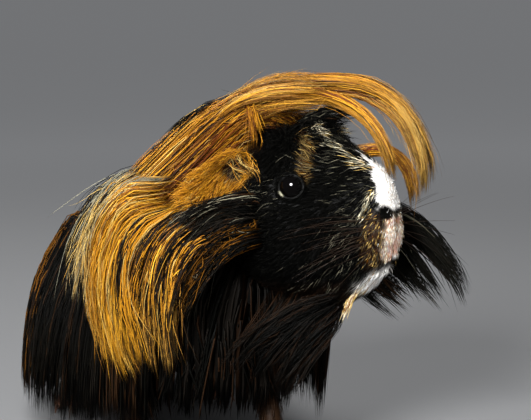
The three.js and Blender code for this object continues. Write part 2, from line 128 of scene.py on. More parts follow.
def wobble(points: Array, pitch: float, seed: int) -> Array:
    """A smooth random value between about -1 and 1 at each point, which swings over a pitch."""
    rng = np.random.default_rng(seed)
    total = np.zeros(points.shape[:-1])
    for _ in range(5):
        way = unit(rng.normal(size=3)) * (2 * math.pi / pitch) * rng.uniform(0.6, 1.6)
        total += np.sin(points @ way + rng.uniform(0, 2 * math.pi))
    return total / 2.6


def from_head(points: Union[Array, Sequence[Point]]) -> Array:
    """Points of the head's frame in the animal's frame."""
    p = np.asarray(points, float)
    c, s = math.cos(HEAD_YAW), math.sin(HEAD_YAW)
    turned = columns(p[..., 0] * c - p[..., 1] * s, p[..., 0] * s + p[..., 1] * c, p[..., 2])
    return turned + HEAD_AT


def to_head(points: Array) -> Array:
    """Points of the animal's frame in the head's frame."""
    p = np.asarray(points, float) - HEAD_AT
    c, s = math.cos(HEAD_YAW), math.sin(HEAD_YAW)
    return columns(p[..., 0] * c + p[..., 1] * s, p[..., 1] * c - p[..., 0] * s, p[..., 2])


def way_from_head(vectors: Array) -> Array:
    """Directions of the head's frame in the animal's frame."""
    return from_head(vectors) - HEAD_AT


def eye_place(side: int) -> Point:
    """The middle of an eye in the head's frame, for side 1 on the left and -1 on the right."""
    return (EYE["ahead"], side * EYE["aside"], EYE["up"])


def eye_reach(q: Array) -> Array:
    """How far places of the head's frame are from the middle of the nearer eye."""
    return np.minimum(*[np.linalg.norm(q - np.array(eye_place(side)), axis=1) for side in (-1, 1)])


def right_side(q: Array) -> Array:
    """Places of the head's frame, with those on its left moved to its right."""
    return columns(q[..., 0], -np.abs(q[..., 1]), q[..., 2])


def frame_shift() -> Array:
    """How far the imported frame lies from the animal's own, from where the right eye is, in mm."""
    low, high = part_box("eye_right")
    return (np.array(low) + np.array(high)) / 2 / MM - from_head(eye_place(-1))


SHIFT = frame_shift()


class Curve:
    """A smooth curve through points, read by the share of its length."""

    def __init__(self, points: Sequence[Point], samples: int = 24) -> None:
        """Runs a centripetal curve through the points.

        Args:
            points: the places that the curve passes.
            samples: straight steps between two neighbouring places.
        """
        p = np.asarray(points, float)
        p = np.vstack([2 * p[0] - p[1], p, 2 * p[-1] - p[-2]])
        line = [p[1]]
        for a, b, c, d in zip(p[:-3], p[1:-2], p[2:-1], p[3:]):
            steps = [max(np.linalg.norm(v - u), 1e-6) ** 0.5 for u, v in ((a, b), (b, c), (c, d))]
            k = np.cumsum([0] + steps)
            for t in np.linspace(k[1], k[2], samples + 1)[1:]:
                ab = a * (k[1] - t) / (k[1] - k[0]) + b * (t - k[0]) / (k[1] - k[0])
                bc = b * (k[2] - t) / (k[2] - k[1]) + c * (t - k[1]) / (k[2] - k[1])
                cd = c * (k[3] - t) / (k[3] - k[2]) + d * (t - k[2]) / (k[3] - k[2])
                abc = ab * (k[2] - t) / (k[2] - k[0]) + bc * (t - k[0]) / (k[2] - k[0])
                bcd = bc * (k[3] - t) / (k[3] - k[1]) + cd * (t - k[1]) / (k[3] - k[1])
                line.append(abc * (k[2] - t) / (k[2] - k[1]) + bcd * (t - k[1]) / (k[2] - k[1]))
        self.line = np.array(line)
        reach = np.cumsum(np.linalg.norm(np.diff(self.line, axis=0), axis=1))
        self.shares = np.concatenate([[0], reach / reach[-1]])

    def at(self, share: Array) -> Array:
        """Points at shares of the length."""
        s = np.clip(share, 0, 1)
        return np.stack([np.interp(s, self.shares, self.line[:, k]) for k in range(3)], -1)

    def heading(self, share: Array) -> Array:
        """Unit directions at shares of the length."""
        s = np.asarray(share, float)
        return unit(self.at(np.clip(s + 0.01, 0, 1)) - self.at(np.clip(s - 0.01, 0, 1)))


def read(rows: Sequence[Sequence[float]], place: Array) -> Array:
    """The values of a table of [place, value, ...] rows at other places, joined smoothly.

    Args:
        rows: the table, in the order of its places.
        place: where to read it.
    Returns:
        One column of values for each column of the table.
    """
    table = np.asarray(rows, float)
    x = table[:, 0]
    s = np.clip(np.asarray(place, float), x[0], x[-1])
    i = np.clip(np.searchsorted(x, s, side="right") - 1, 0, len(x) - 2)
    span = x[i + 1] - x[i]
    f = ((s - x[i]) / span)[..., None]
    low = np.maximum(np.arange(len(x)) - 1, 0)
    high = np.minimum(np.arange(len(x)) + 1, len(x) - 1)
    slope = (table[high, 1:] - table[low, 1:]) / (x[high] - x[low])[:, None]
    step = f * f * (3 - 2 * f)
    swing = f * (1 - f) * span[..., None]
    blend = table[i, 1:] * (1 - step) + table[i + 1, 1:] * step
    return blend + swing * (slope[i] * (1 - f) - slope[i + 1] * f)


def rounding(share: Array, start: float, end: float) -> Array:
    """From 0 at both ends of a loft to 1 between its rounded caps."""
    a = np.maximum(0, 1 - share / start)
    b = np.maximum(0, 1 - (1 - share) / end)
    return np.sqrt(np.clip(1 - a * a, 0, 1)) * np.sqrt(np.clip(1 - b * b, 0, 1))


# ---- meshes ---------------------------------------------------------------------------------------
@dataclass
class Shell:
    """A mesh of triangles in the animal's frame."""

    points: Array
    faces: Array
    colours: Optional[Array] = None
    uvs: Optional[Array] = None

    @staticmethod
    def joined(shells: Iterable["Shell"]) -> "Shell":
        """One mesh of several."""
        parts = list(shells)
        starts = np.cumsum([0] + [len(part.points) for part in parts])
        faces = np.concatenate([part.faces + start for part, start in zip(parts, starts)])
        colours = None if parts[0].colours is None else np.concatenate([part.colours for part in parts])
        uvs = None if parts[0].uvs is None else np.concatenate([part.uvs for part in parts])
        return Shell(np.concatenate([part.points for part in parts]), faces, colours, uvs)

    def object(self, name: str) -> bpy.types.Object:
        """A Blender object of the mesh at the origin, in metres, with smooth faces."""
        mesh = bpy.data.meshes.new(name)
        mesh.vertices.add(len(self.points))
        mesh.vertices.foreach_set("co", ((self.points + SHIFT) * MM).astype(np.float32).ravel())
        mesh.loops.add(3 * len(self.faces))
        mesh.loops.foreach_set("vertex_index", self.faces.astype(np.int32).ravel())
        mesh.polygons.add(len(self.faces))
        mesh.polygons.foreach_set("loop_start", np.arange(0, 3 * len(self.faces), 3, dtype=np.int32))
        mesh.update(calc_edges=True)
        mesh.polygons.foreach_set("use_smooth", np.ones(len(self.faces), bool))
        if self.colours is not None:
            rgba = np.ones((len(self.points), 4), np.float32)
            rgba[:, :3] = self.colours
            layer = mesh.color_attributes.new("coat", "FLOAT_COLOR", "POINT")
            layer.data.foreach_set("color", rgba.ravel())
        if self.uvs is not None:
            layer = mesh.uv_layers.new(name="OFBake")
            layer.data.foreach_set("uv", self.uvs[self.faces.ravel()].astype(np.float32).ravel())
        mesh.update()
        made = bpy.data.objects.new(name, mesh)
        bpy.context.scene.collection.objects.link(made)
        return made


def ring_quads(rings: int, around: int, first: int = 0) -> Array:
    """The four-sided faces between rings of points, where first is the number of the first point."""
    k = np.arange(around)
    after = (k + 1) % around
    row = (np.arange(rings - 1) * around)[:, None] + first
    return columns(row + k, row + after, row + after + around, row + k + around).reshape(-1, 4)


@dataclass(frozen=True)
class Loft:
    """A closed tube along a curve, whose sections stand upright or are square to the curve.

    ring gives the half width, the height above, the depth below, a pinch that narrows the upper half and the
    factor that closes the ends, at an array of shares of the length.
    """

    route: Sequence[Point]
    ring: Callable[[Array], tuple]
    side: Optional[Point] = None
    around: int = 40
    steps: int = 40

    def shell(self) -> Shell:
        """The tube's mesh."""
        curve = Curve(self.route)
        t = (1 - np.cos(np.linspace(0, math.pi, self.steps + 1))) / 2
        at, heading = curve.at(t), curve.heading(t)
        if self.side is None:
            heading = unit(heading * [1, 1, 0])
            left = unit(np.cross([0, 0, 1], heading))
        else:
            side = np.array(self.side, float)
            left = unit(side - heading * (heading @ side)[:, None])
        top = np.cross(heading, left)
        wide, above, below, pinch, cap = (np.broadcast_to(v, t.shape)[:, None] for v in self.ring(t))
        angle = np.arange(self.around) * 2 * math.pi / self.around
        across, rise = np.cos(angle)[None], np.sin(angle)[None]
        lateral = wide * cap * across * (1 - pinch * (0.5 + 0.5 * rise))
        lifted = np.where(rise > 0, above, below) * cap * rise
        grid = at[:, None] + left[:, None] * lateral[..., None] + top[:, None] * lifted[..., None]
        points = np.vstack([at[:1], grid[1:-1].reshape(-1, 3), at[-1:]])
        n = self.around
        k, last = np.arange(n), 1 + (self.steps - 2) * n
        after = (k + 1) % n
        quads = ring_quads(self.steps - 1, n, 1)
        start, end = columns(0, 1 + after, 1 + k), columns(last + n, last + k, last + after)
        return Shell(points, np.concatenate([quads[:, [0, 1, 2]], quads[:, [0, 2, 3]], start, end]))


# ---- the animal's forms, inside the outline of its coat -------------------------------------------
SPINE = [(-147, 13, 42), (-112, 7, 47), (-72, 2, 52), (-36, 3, 60), (-12, 12, 77), (2, 22, 96), (12, 32, 104)]
SPINE_END = 190
# station along the spine, half width, height above, depth below
TRUNK_ROWS = [
    (0, 30, 30, 26),
    (38, 40, 38, 27),
    (79, 42, 41, 31),
    (116, 38, 39, 33),
    (146, 32, 35, 42),
    (172, 27, 26, 46),
    (SPINE_END, 20, 14, 40),
]
TRUNK_COAT = 6.5
# distance ahead of the eyes, top, level of the widest part, bottom, half width, pinch, depth of the coat
HEAD_ROWS = [
    (-40, 13, -12, -28, 22, 0.15, 5.0),
    (-30, 19, -14, -36, 28, 0.2, 5.0),
    (-20, 23, -17, -42, 31.5, 0.26, 4.8),
    (-10, 24.5, -19, -45, 32, 0.3, 4.4),
    (0, 23.5, -20, -46.5, 30.5, 0.32, 3.8),
    (8, 20, -21, -46.5, 27, 0.34, 3.0),
    (16, 14.5, -21.5, -44.5, 21.5, 0.34, 2.0),
    (24, 9, -21, -38.5, 16.5, 0.34, 1.4),
    (29, 4.5, -19, -32, 13.8, 0.32, 1.1),
    (33.4, -1.5, -16, -24, 11.2, 0.25, 0.9),
]
HEAD_BACK, HEAD_FRONT = -40, 33.4
# droop is how far the tip bends down, and sunk how far the middle lies behind the plane of the rims
EAR = {"length": 29, "width": 19, "thick": 2.2, "cup": 5.2, "droop": 5, "sunk": 2.6}
FORE_FOOT = {"length": 19, "width": 10.5, "height": 8.5, "toes": 4, "claw": 4.2}
# how high the soles and the claws end above the floor
SOLE_HEIGHT, CLAW_HEIGHT = 0.12, 0.1
HIND_FOOT = {"length": 37, "width": 12, "height": 9.5, "toes": 3, "claw": 5.2}
LEGS = {
    "fore_right": {
        "route": [(-20, -19, 52), (-14, -21, 34), (-4, -22, 16), (-1, -22, 6)],
        "top": 12, "ankle": 4.6, "foot": FORE_FOOT, "heel": (-5, -22), "yaw": -4,
    },
    "fore_left": {
        "route": [(-14, 27, 52), (-8, 29, 34), (3, 31, 16), (6, 32, 6)],
        "top": 12, "ankle": 4.6, "foot": FORE_FOOT, "heel": (2, 32), "yaw": 18,
    },
    "hind_right": {
        "route": [(-90, -18, 46), (-94, -23, 30), (-112, -22, 16), (-119, -21, 6)],
        "top": 17, "ankle": 5.6, "foot": HIND_FOOT, "heel": (-122, -21), "yaw": -12,
    },
    "hind_left": {
        "route": [(-90, 28, 46), (-94, 34, 30), (-112, 36, 16), (-118, 37, 6)],
        "top": 17, "ankle": 5.6, "foot": HIND_FOOT, "heel": (-121, 37), "yaw": -2,
    },
}


def trunk_loft() -> Loft:
    """The trunk and neck under their coat."""

    def ring(t: Array) -> tuple:
        """The trunk's section at shares of its length."""
        wide, above, below = read(TRUNK_ROWS, t * SPINE_END).T
        return wide - TRUNK_COAT, above - TRUNK_COAT, below - TRUNK_COAT + 2, 0.12, rounding(t, 0.2, 0.09)

    return Loft(SPINE, ring, around=64, steps=70)


def head_loft() -> Loft:
    """The head under its coat, in the head's frame."""
    reach = HEAD_FRONT - HEAD_BACK
    places = np.linspace(HEAD_BACK, HEAD_FRONT, 16)
    levels = read(HEAD_ROWS, places)[:, 1]
    route = [(float(u), 0.0, float(w)) for u, w in zip(places, levels)]
    curve = Curve(route)

    def ring(t: Array) -> tuple:
        """The head's section at shares of its length."""
        top, level, bottom, wide, pinch, coat = read(HEAD_ROWS, curve.at(t)[:, 0]).T
        above, below = top - level - coat, level - bottom - coat
        return wide - coat, above, below, pinch - 0.03 * coat, rounding(t, 0.22, 0.07)

    shorter = [(u * (1 - 1.0 / reach) - 0.5, v, w) for u, v, w in route]
    return Loft(shorter, ring, around=72, steps=72)


def ear_axes(side: int) -> tuple[Array, Array, Array, Array]:
    """An ear's root and its directions out to the tip, across and forwards, in the head's frame."""
    root = np.array([-18, side * 18.5, 10.0])
    out = unit(np.array([-0.7, side * 0.45, -0.55]))
    facing = np.array([0.5, side * 0.8, -0.33])
    facing = unit(facing - out * (facing @ out))
    return root, out, np.cross(facing, out), facing


def ear_half(t: Array) -> Array:
    """Half the width of an ear at shares of its length."""
    return EAR["width"] / 2 * (0.75 + 0.35 * t - 0.35 * t * t)


def on_ear(q: Array) -> tuple[Array, Array, Array]:
    """Where places of the head's frame lie on the nearer ear.

    Args:
        q: the places.
    Returns:
        The share of the ear's length, the share of its half width and the height over its face in mm.
    """
    root, out, across, facing = ear_axes(-1)
    away = right_side(q) - root
    t = away @ out / EAR["length"]
    away[..., 2] += EAR["droop"] * np.clip(t, 0, 1) ** 2
    t = away @ out / EAR["length"]
    return t, away @ across / ear_half(np.clip(t, 0, 1)), away @ facing


def ear_share(q: Array) -> Array:
    """1 on the ears and 0 elsewhere, at places in the head's frame."""
    t, x, high = on_ear(q)
    along = smooth(t, 0.05, 0.16) * smooth(t, 1.3, 1.15)
    return along * smooth(np.abs(x), 1.6, 1.3) * smooth(np.abs(high + EAR["sunk"]), 7, 5)


def ear_hole(q: Array) -> Array:
    """1 in the hollow near the root of an ear, which is painted black as the shade inside it."""
    t, x, _ = on_ear(q)
    return smooth(np.hypot((t - 0.26) / 0.17, (x - 0.1) / 0.5), 1.25, 0.8) * ear_share(q)


def ear_shell(side: int) -> Shell:
    """A petal-shaped ear that cups forwards, in the head's frame.

    Args:
        side: 1 on the left and -1 on the right.
    Returns:
        The ear's closed mesh.
    """
    root, out, across, facing = ear_axes(side)
    ball = Loft([(0, -1, 0), (0, 0, 0), (0, 1, 0)], lambda t: (s := 2 * np.sqrt(t * (1 - t)), s, s, 0, 1),
                side=(1, 0, 0), around=36, steps=30).shell()
    x, y, z = ball.points.T
    t = (1 - y) / 2
    half = ear_half(t)
    fold = 0.9 * np.sin(t * 9 + x * 1.5) * x * x
    cupped = EAR["cup"] * (1 - x * x) * np.sin(math.pi * np.minimum(t + 0.15, 1))
    points = root + out * (EAR["length"] * t)[:, None] + across * (half * x)[:, None]
    points += facing * (EAR["thick"] / 2 * z - cupped + fold)[:, None]
    points[:, 2] -= EAR["droop"] * t * t
    return Shell(points, outward(points, ball.faces))


def outward(points: Array, faces: Array) -> Array:
    """The faces of a closed mesh, turned so that its volume is positive."""
    a, b, c = points[faces[:, 0]], points[faces[:, 1]], points[faces[:, 2]]
    volume = np.einsum("ij,ij->", a, np.cross(b, c))
    return faces if volume > 0 else faces[:, ::-1]


def foot_turn(leg: dict, points: Array) -> Array:
    """Points along a foot, which starts at the heel and points along X, moved to where the foot stands."""
    yaw = math.radians(leg["yaw"])
    c, s = math.cos(yaw), math.sin(yaw)
    x, y, z = points.T
    return np.stack([x * c - y * s + leg["heel"][0], x * s + y * c + leg["heel"][1], z], -1)


def toe_lines(foot: dict) -> list[dict]:
    """Each toe of a foot: the middle line of the toe and of its claw, and its radius."""
    lines = []
    for i in range(foot["toes"]):
        spread = i / (foot["toes"] - 1) - 0.5
        y = spread * foot["width"] * 0.86
        reach = foot["length"] * (0.94 - 0.34 * spread * spread)
        back = reach - foot["length"] * 0.42
        radius = foot["width"] / foot["toes"] / 1.75
        lean = spread * 3.2
        middle = ((back + reach) / 2, y, radius * 1.35)
        toe = [(back, y * 0.8, radius * 1.5), middle, (reach, y + lean, radius)]
        claw = [
            (reach - 1.5, y + lean * 0.9, radius),
            (reach + foot["claw"] * 0.45, y + lean * 1.2, radius * 0.95),
            (reach + foot["claw"], y + lean * 1.4, 0.75),
        ]
        lines.append({"toe": toe, "claw": claw, "radius": radius})
    return lines


def leg_shells(leg: dict) -> list[Shell]:
    """A leg, its foot and its toes, as closed meshes that run into one another."""
    foot, shells = leg["foot"], []

    def shank(t: Array) -> tuple:
        """The leg's section at shares of its length."""
        girth = leg["top"] - 2.5 + (leg["ankle"] - 0.5 - leg["top"] + 2.5) * np.minimum(1, t * 1.25)
        return girth, girth * 1.15, girth * 1.15, 0, rounding(t, 0.1, 0.12)

    def palm(t: Array) -> tuple:
        """The foot's section at shares of its length."""
        high = foot["height"] * (0.54 - 0.24 * t)
        return foot["width"] / 2 * (0.7 + 0.28 * t), high, high, 0, rounding(t, 0.2, 0.25)

    shells.append(Loft(leg["route"], shank, side=(0, 1, 0), around=28, steps=30).shell())
    high, long = foot["height"], foot["length"]
    sole = [(0, 0, high * 0.45), (long * 0.35, 0, high * 0.35), (long * 0.72, 0, high * 0.25)]
    pieces = [Loft(sole, palm, around=28, steps=26).shell()]
    for line in toe_lines(foot):
        r = line["radius"]
        toe = Loft(line["toe"], lambda t, r=r: (r, r, r, 0, rounding(t, 0.2, 0.2)), (0, 1, 0), 16, 16)
        pieces.append(toe.shell())
    for piece in pieces:
        moved = foot_turn(leg, piece.points)
        moved[:, 2] = np.maximum(moved[:, 2], SOLE_HEIGHT)
        shells.append(Shell(moved, piece.faces))
    return shells


# ---- markings, the same for the skin and the coat -------------------------------------------------
def blob(points: Array, centre: Point, radii: Point, edge: float = 0.35) -> Array:
    """1 inside a stretched ball and 0 outside it, with a soft and slightly ragged edge."""
    reach = np.linalg.norm((points - np.array(centre)) / np.array(radii), axis=-1)
    return smooth(reach + 0.16 * wobble(points, 6, 5), 1 + edge, 1 - edge)


def streak(points: Array, start: Point, end: Point, radius: float) -> Array:
    """1 near the line between two places and 0 away from it."""
    a, b = np.array(start, float), np.array(end, float)
    share = np.clip(((points - a) @ (b - a)) / ((b - a) @ (b - a)), 0, 1)
    away = np.linalg.norm(points - a - share[..., None] * (b - a), axis=-1)
    return smooth(away + 0.12 * radius * wobble(points, 5, 9), radius * 1.2, radius * 0.8)


# distance ahead of the eyes, half width of the blaze on the bridge of the nose
BLAZE_ROWS = [(6, 0.05), (17, 0.2), (20.5, 0.8), (23, 2.4), (25.5, 5.0), (28, 7.2), (30.5, 8.0), (34, 6.8)]
BLAZE_ASIDE = 0.6
# the hairs of the patches of mixed colours, and how common each colour is in them
BROW_MIX = [(TAN * 0.8, 5), (STRAW * 0.6, 1.5), (BRONZE * 0.6, 1), (UMBER, 3), (BLACK, 1)]
BRIDGE_MIX = [(ASH, 3.4), (CREAM * 0.9, 2.2), (STRAW * 0.8, 2), (BLACK, 3)]
MUZZLE_MIX = [(STRAW, 2), (TAN, 2.2), (BRONZE * 0.6, 0.8), (UMBER, 3.4), (BLACK, 5)]
# the lips' cream and pink are raised by a tenth as painted light on the lips, which face away from the lamps
LIP_MIX = [(WHITE, 7), (CREAM * 1.1, 4), (PINK * 1.1, 2)]


def brow_share(q: Array) -> Array:
    """How surely a hair belongs to the tan patch over an eye, at places in the head's frame."""
    near = right_side(q)
    share = np.maximum(streak(near, (-1.2, -9.7, 18.8), (2.5, -14.4, 9.8), 1.9),
                       streak(near, (2.2, -14.6, 9.6), (3.8, -18, 3.2), 2.7))
    return np.maximum(share * 0.9, 0.7 * streak(near, (-3.5, -19, 6.4), (3, -17, 6.5), 1.1))


def bridge_share(q: Array) -> Array:
    """How surely a hair belongs to the pale streaks beside the blaze, up the forehead and to the whiskers."""
    near = right_side(q)
    share = np.maximum(streak(near, (-2, -6, 21.5), (8.4, -7.3, 16.1), 2.4),
                       streak(near, (8.4, -7.3, 16.1), (22.6, -5.2, 7), 2.4))
    return 0.9 * np.maximum(share, streak(near, (26, -8.2, -1.5), (23.5, -12, -10.5), 1.7))


def muzzle_share(q: Array) -> Array:
    """How surely a hair belongs to the speckled patch beside the lips."""
    return 0.9 * blob(right_side(q), (27.5, -10.5, -20.5), (4.2, 4.6, 10), 0.45)


def lip_share(q: Array) -> Array:
    """How surely a hair belongs to the whitish fuzz of the lips."""
    return blob(right_side(q), (31.8, -4.5, -20.5), (3.2, 5.0, 8.5), 0.5) * 0.85


PATCHES = (
    (brow_share, BROW_MIX), (bridge_share, BRIDGE_MIX), (muzzle_share, MUZZLE_MIX), (lip_share, LIP_MIX),
)


def drawn(mix: Sequence[tuple[Array, float]], count: int, rng: np.random.Generator) -> Array:
    """Colours drawn from a mix, as common as it says."""
    amounts = np.array([amount for _, amount in mix])
    taken = rng.choice(len(mix), size=count, p=amounts / amounts.sum())
    return np.array([colour for colour, _ in mix])[taken]


def painted(colour: Array, layers: Iterable[tuple[Array, Array]]) -> Array:
    """Colours after layers of paint, each a colour and the share of it that each place takes."""
    for paint, share in layers:
        colour = mixed(colour, paint, share)
    return colour


def head_markings(q: Array) -> Array:
    """The coat's colour on the head, at places in the head's frame."""
    u, v, w = q[..., 0], q[..., 1], q[..., 2]
    near = right_side(q)
    half = read(BLAZE_ROWS, u)[..., 0]
    blaze = smooth(np.abs(v + BLAZE_ASIDE) + 0.8 * wobble(q, 4, 6), half * 1.12 + 0.2, half * 0.85)
    return painted(np.broadcast_to(BLACK, q.shape), (
        (UMBER, 0.8 * smooth(w + 2 * wobble(q, 14, 3), -33, -43) * smooth(u, 24, 12)),
        (RUSSET * 0.6, smooth(w, 17, 22) * smooth(u, -8, -14) * 0.8),
        (GOLD, smooth(u + 1.5 * wobble(q, 9, 4), -20, -26) * smooth(w, -12, 0)),
        (BRONZE * 0.7, blob(near, (-18, -16, 20), (4, 6, 7)) * 0.7),
        (GOLD, ear_share(q)),
        # painted shade: the hollow near each ear's root is black
        (BLACK, ear_hole(q)),
        (TAN * 0.45, brow_share(q)),
        (WHITE, blaze * smooth(w, -9.5, -7.5) * smooth(u, 16, 20)),
        (UMBER * 1.5, muzzle_share(q)),
        (mixed(CREAM, PINK, 0.4), lip_share(q)),
        (PINK, blob(near, (32.2, -2.4, -23.0), (3.0, 2.6, 3.6), 0.35)),
        (ROSE, blob(near, (32.5, -4.0, -13.0), (3.0, 4.0, 1.4), 0.25) * 0.7),
        # black nose leather round the nostrils, with painted shade inside them
        (BLACK, blob(near, (31.4, -7.0, -9.6), (4.6, 3.8, 2.3), 0.25)),
        (WHITE, blob(q, (26, -2.0, -35.5), (8.5, 8.5, 5.5), 0.3)),
        (CREAM, streak(q, (22, -4, -40), (17, -3, -48), 2.0)),
    ))


def body_markings(p: Array) -> Array:
    """The coat's colour on the body, at places in the animal's frame."""
    x, z = p[..., 0], p[..., 2]
    return painted(np.broadcast_to(BLACK, p.shape), (
        (GOLD, blob(p, (-96, 38, 60), (24, 26, 36), 0.2) * 0.9),
        (BRONZE, blob(p, (-136, 6, 60), (18, 20, 30), 0.2) * 0.8),
        (UMBER, smooth(x, -6, 8) * smooth(z, 84, 70) * 0.8),
        (LEATHER, smooth(z, 9, 4) * 0.9),
    ))


def markings(p: Array) -> Array:
    """The coat's colour at places in the animal's frame."""
    q = to_head(p)
    on_head = np.maximum(smooth(q[..., 0], -34, -26) * smooth(q[..., 2], -52, -46), ear_share(q))
    return mixed(body_markings(p), head_markings(q), on_head)


def strip(start: float, along: Array, turn: Array) -> Array:
    """Places on one strip of the unwrap, from the shares of its length and of a turn round the body."""
    return columns(start + 0.44 * along, 0.03 + 0.94 * turn)


def unwrap(p: Array) -> Array:
    """The place of each point of the skin on its unwrap: strips along the head, the trunk and the legs.

    Args:
        p: points in the animal's frame.
    Returns:
        Two numbers from 0 to 1 for each point: along the strip, and round the body.
    """
    q = to_head(p)
    level = read(HEAD_ROWS, q[..., 0])[..., 1]
    round_head = np.arctan2(q[..., 2] - level, q[..., 1]) / (2 * math.pi) + 0.5
    head = strip(0.03, (q[..., 0] + 44) / 82, round_head)
    x, y, z = np.array(SPINE, float).T
    away_y, away_z = (p[..., k] - np.interp(p[..., 0], x, middle) for k, middle in ((1, y), (2, z)))
    round_body = np.arctan2(away_z, away_y) / (2 * math.pi) + 0.5
    trunk = strip(0.53, (p[..., 0] + 150) / 190, round_body)
    on_head = (q[..., 0] > -42) & (np.linalg.norm(q, axis=-1) < 66)
    return np.clip(np.where(on_head[..., None], head, trunk), 0.004, 0.996)


# ---- the skin -------------------------------------------------------------------------------------
@dataclass(frozen=True)
class Skin:
    """The whole skin in one closed mesh, with the face worked into it.

    voxel is the grain of the fusion; lid_opening and corner are angles in degrees at the eyeball's middle,
    and the rest are heights and depths in mm.
    """

    voxel: float = 1.05
    lid_opening: float = 45
    corner: float = 7
    lid_height: float = 0.75
    pocket: float = 1.1
    crease: float = 0.35
    nostril_depth: float = 2.4
    nostril_rim: float = 0.55
    pad_swell: float = 1.1
    cleft_depth: float = 1.1
    mouth_depth: float = 1.7
    upper_lip: float = 0.7
    lower_lip: float = 0.6

    def build(self) -> Shell:
        """Fuses the forms, refines the face, works its details into it and colours it."""
        parts = [trunk_loft().shell()]
        for made in (head_loft().shell(), ear_shell(-1), ear_shell(1)):
            parts.append(Shell(from_head(made.points), made.faces))
        for leg in LEGS.values():
            parts += leg_shells(leg)
        loose = Shell.joined(Shell(part.points, outward(part.points, part.faces)) for part in parts)
        skin = self.refined(self.fused(loose))
        skin.points = self.worked(skin.points)
        skin.colours = self.coloured(skin.points)
        return skin

    def fused(self, loose: Shell) -> Shell:
        """The union of overlapping closed meshes, smoothed where they meet."""
        rough = loose.object("skin_rough")
        remesh = rough.modifiers.new("fuse", "REMESH")
        remesh.mode, remesh.voxel_size = "VOXEL", self.voxel * MM
        ease = rough.modifiers.new("ease", "SMOOTH")
        ease.factor, ease.iterations = 0.5, 6
        evaluated = rough.evaluated_get(bpy.context.evaluated_depsgraph_get())
        mesh = bpy.data.meshes.new_from_object(evaluated)
        bpy.data.objects.remove(rough)
        made = self.taken(mesh)
        bpy.data.meshes.remove(mesh)
        return made

    @staticmethod
    def taken(mesh: bpy.types.Mesh) -> Shell:
        """The triangles of a Blender mesh, back in the animal's frame."""
        mesh.calc_loop_triangles()
        points = np.empty(3 * len(mesh.vertices), np.float32)
        mesh.vertices.foreach_get("co", points)
        faces = np.empty(3 * len(mesh.loop_triangles), np.int32)
        mesh.loop_triangles.foreach_get("vertices", faces)
        return Shell(points.reshape(-1, 3).astype(float) / MM - SHIFT, faces.reshape(-1, 3))

    @staticmethod
    def refined(shell: Shell) -> Shell:
        """The skin with smaller faces on the muzzle and round the eyes."""
        work = bmesh.new()
        piece = shell.object("skin_work")
        work.from_mesh(piece.data)
        for near in (Skin.near_face, Skin.near_eyes):
            places = np.array([vertex.co[:] for vertex in work.verts]) / MM - SHIFT
            inside = near(to_head(places))
            work.verts.ensure_lookup_table()
            edges = [edge for edge in work.edges if all(inside[vertex.index] for vertex in edge.verts)]
            bmesh.ops.subdivide_edges(work, edges=edges, cuts=1, use_grid_fill=True)
            bmesh.ops.triangulate(work, faces=work.faces[:])
            work.verts.index_update()
        work.to_mesh(piece.data)
        work.free()
        made = Skin.taken(piece.data)
        bpy.data.objects.remove(piece)
        return made

    @staticmethod
    def near_face(q: Array) -> Array:
        """True for places on the muzzle, the chin and round the eyes."""
        return (q[:, 0] > 18) | Skin.near_eyes(q, 10.5)

    @staticmethod
    def near_eyes(q: Array, reach: float = 8.6) -> Array:
        """True for places near an eye."""
        return eye_reach(q) < reach

    def worked(self, points: Array) -> Array:
        """The skin's points after the sockets, lids, nostrils, lips and mouth are worked in."""
        q = to_head(points)
        face = np.linalg.norm(q, axis=1) < 70
        for side in (-1, 1):
            q = self.nostril(self.lids(q, side), side)
        return np.where(face[:, None], from_head(self.mouth(q)), points)

    def lids(self, q: Array, side: int) -> Array:
        """The socket of one eye and the lids round its opening.

        Args:
            q: places in the head's frame.
            side: 1 on the left and -1 on the right.
        Returns:
            The places after the move.
        """
        middle = np.array(eye_place(side), float)
        axis = unit(np.array([0.16, side, 0.1]))
        away = q - middle
        reach = np.maximum(np.linalg.norm(away, axis=1), 1e-6)
        flat = away - (away @ axis)[:, None] * axis
        angle = np.degrees(np.arccos(np.clip((away @ axis) / reach, -1, 1)))
        # the opening is longer towards its two corners
        corner = np.abs(unit(flat) @ unit(np.array([1.0, 0, 0.25])))
        opening = self.lid_opening + self.corner * corner ** 3
        rim = EYE["radius"] + self.lid_height * np.exp(-(((angle - opening - 7) / 9) ** 2))
        pocket = EYE["radius"] - self.pocket
        inside = smooth(angle, opening + 1.5, opening - 2.5)
        target = rim * (1 - inside) + pocket * inside
        hold = smooth(angle, 112, 84) * smooth(reach, 9.5, 7.4)
        crease = self.crease * np.exp(-(((angle - opening - 24) / 5) ** 2))
        eased = np.maximum(target, reach * 0.55 + target * 0.45)
        target = np.where(angle > opening + 12, eased, target)
        new = reach * (1 - hold) + target * hold - crease * hold
        return middle + away / reach[:, None] * new[:, None]

    def nostril(self, q: Array, side: int) -> Array:
        """The comma-shaped nostril on one side, and the swelling of the whisker pad behind it.

        Args:
            q: places in the head's frame.
            side: 1 on the left and -1 on the right.
        Returns:
            The places after the move.
        """
        v = np.array([1.0, side, 1.0])
        place = q / v
        hole = np.array([33.2, 4.6, -9.6])
        tail = np.array([29.8, 8.0, -8.2])
        share = np.clip(((place - hole) @ (tail - hole)) / ((tail - hole) @ (tail - hole)), 0, 1)
        away = np.linalg.norm(place - hole - share[:, None] * (tail - hole), axis=1)
        depth = self.nostril_depth * np.exp(-((away / (1.5 - 0.55 * share)) ** 2))
        lip = self.nostril_rim * np.exp(-(((away - 2.3) / 0.8) ** 2)) * smooth(place[:, 0], 26, 30)
        from_pad = np.linalg.norm((place - [27.5, 9.5, -19]) / [5, 4.5, 6.5], axis=1)
        pad = self.pad_swell * np.exp(-(from_pad ** 2))
        inward = unit(np.array([-0.75, -0.62 * side, 0.12]))
        moved = q + inward * (depth - lip)[:, None]
        return moved - unit(np.array([-0.5, -0.85 * side, 0.1])) * pad[:, None]

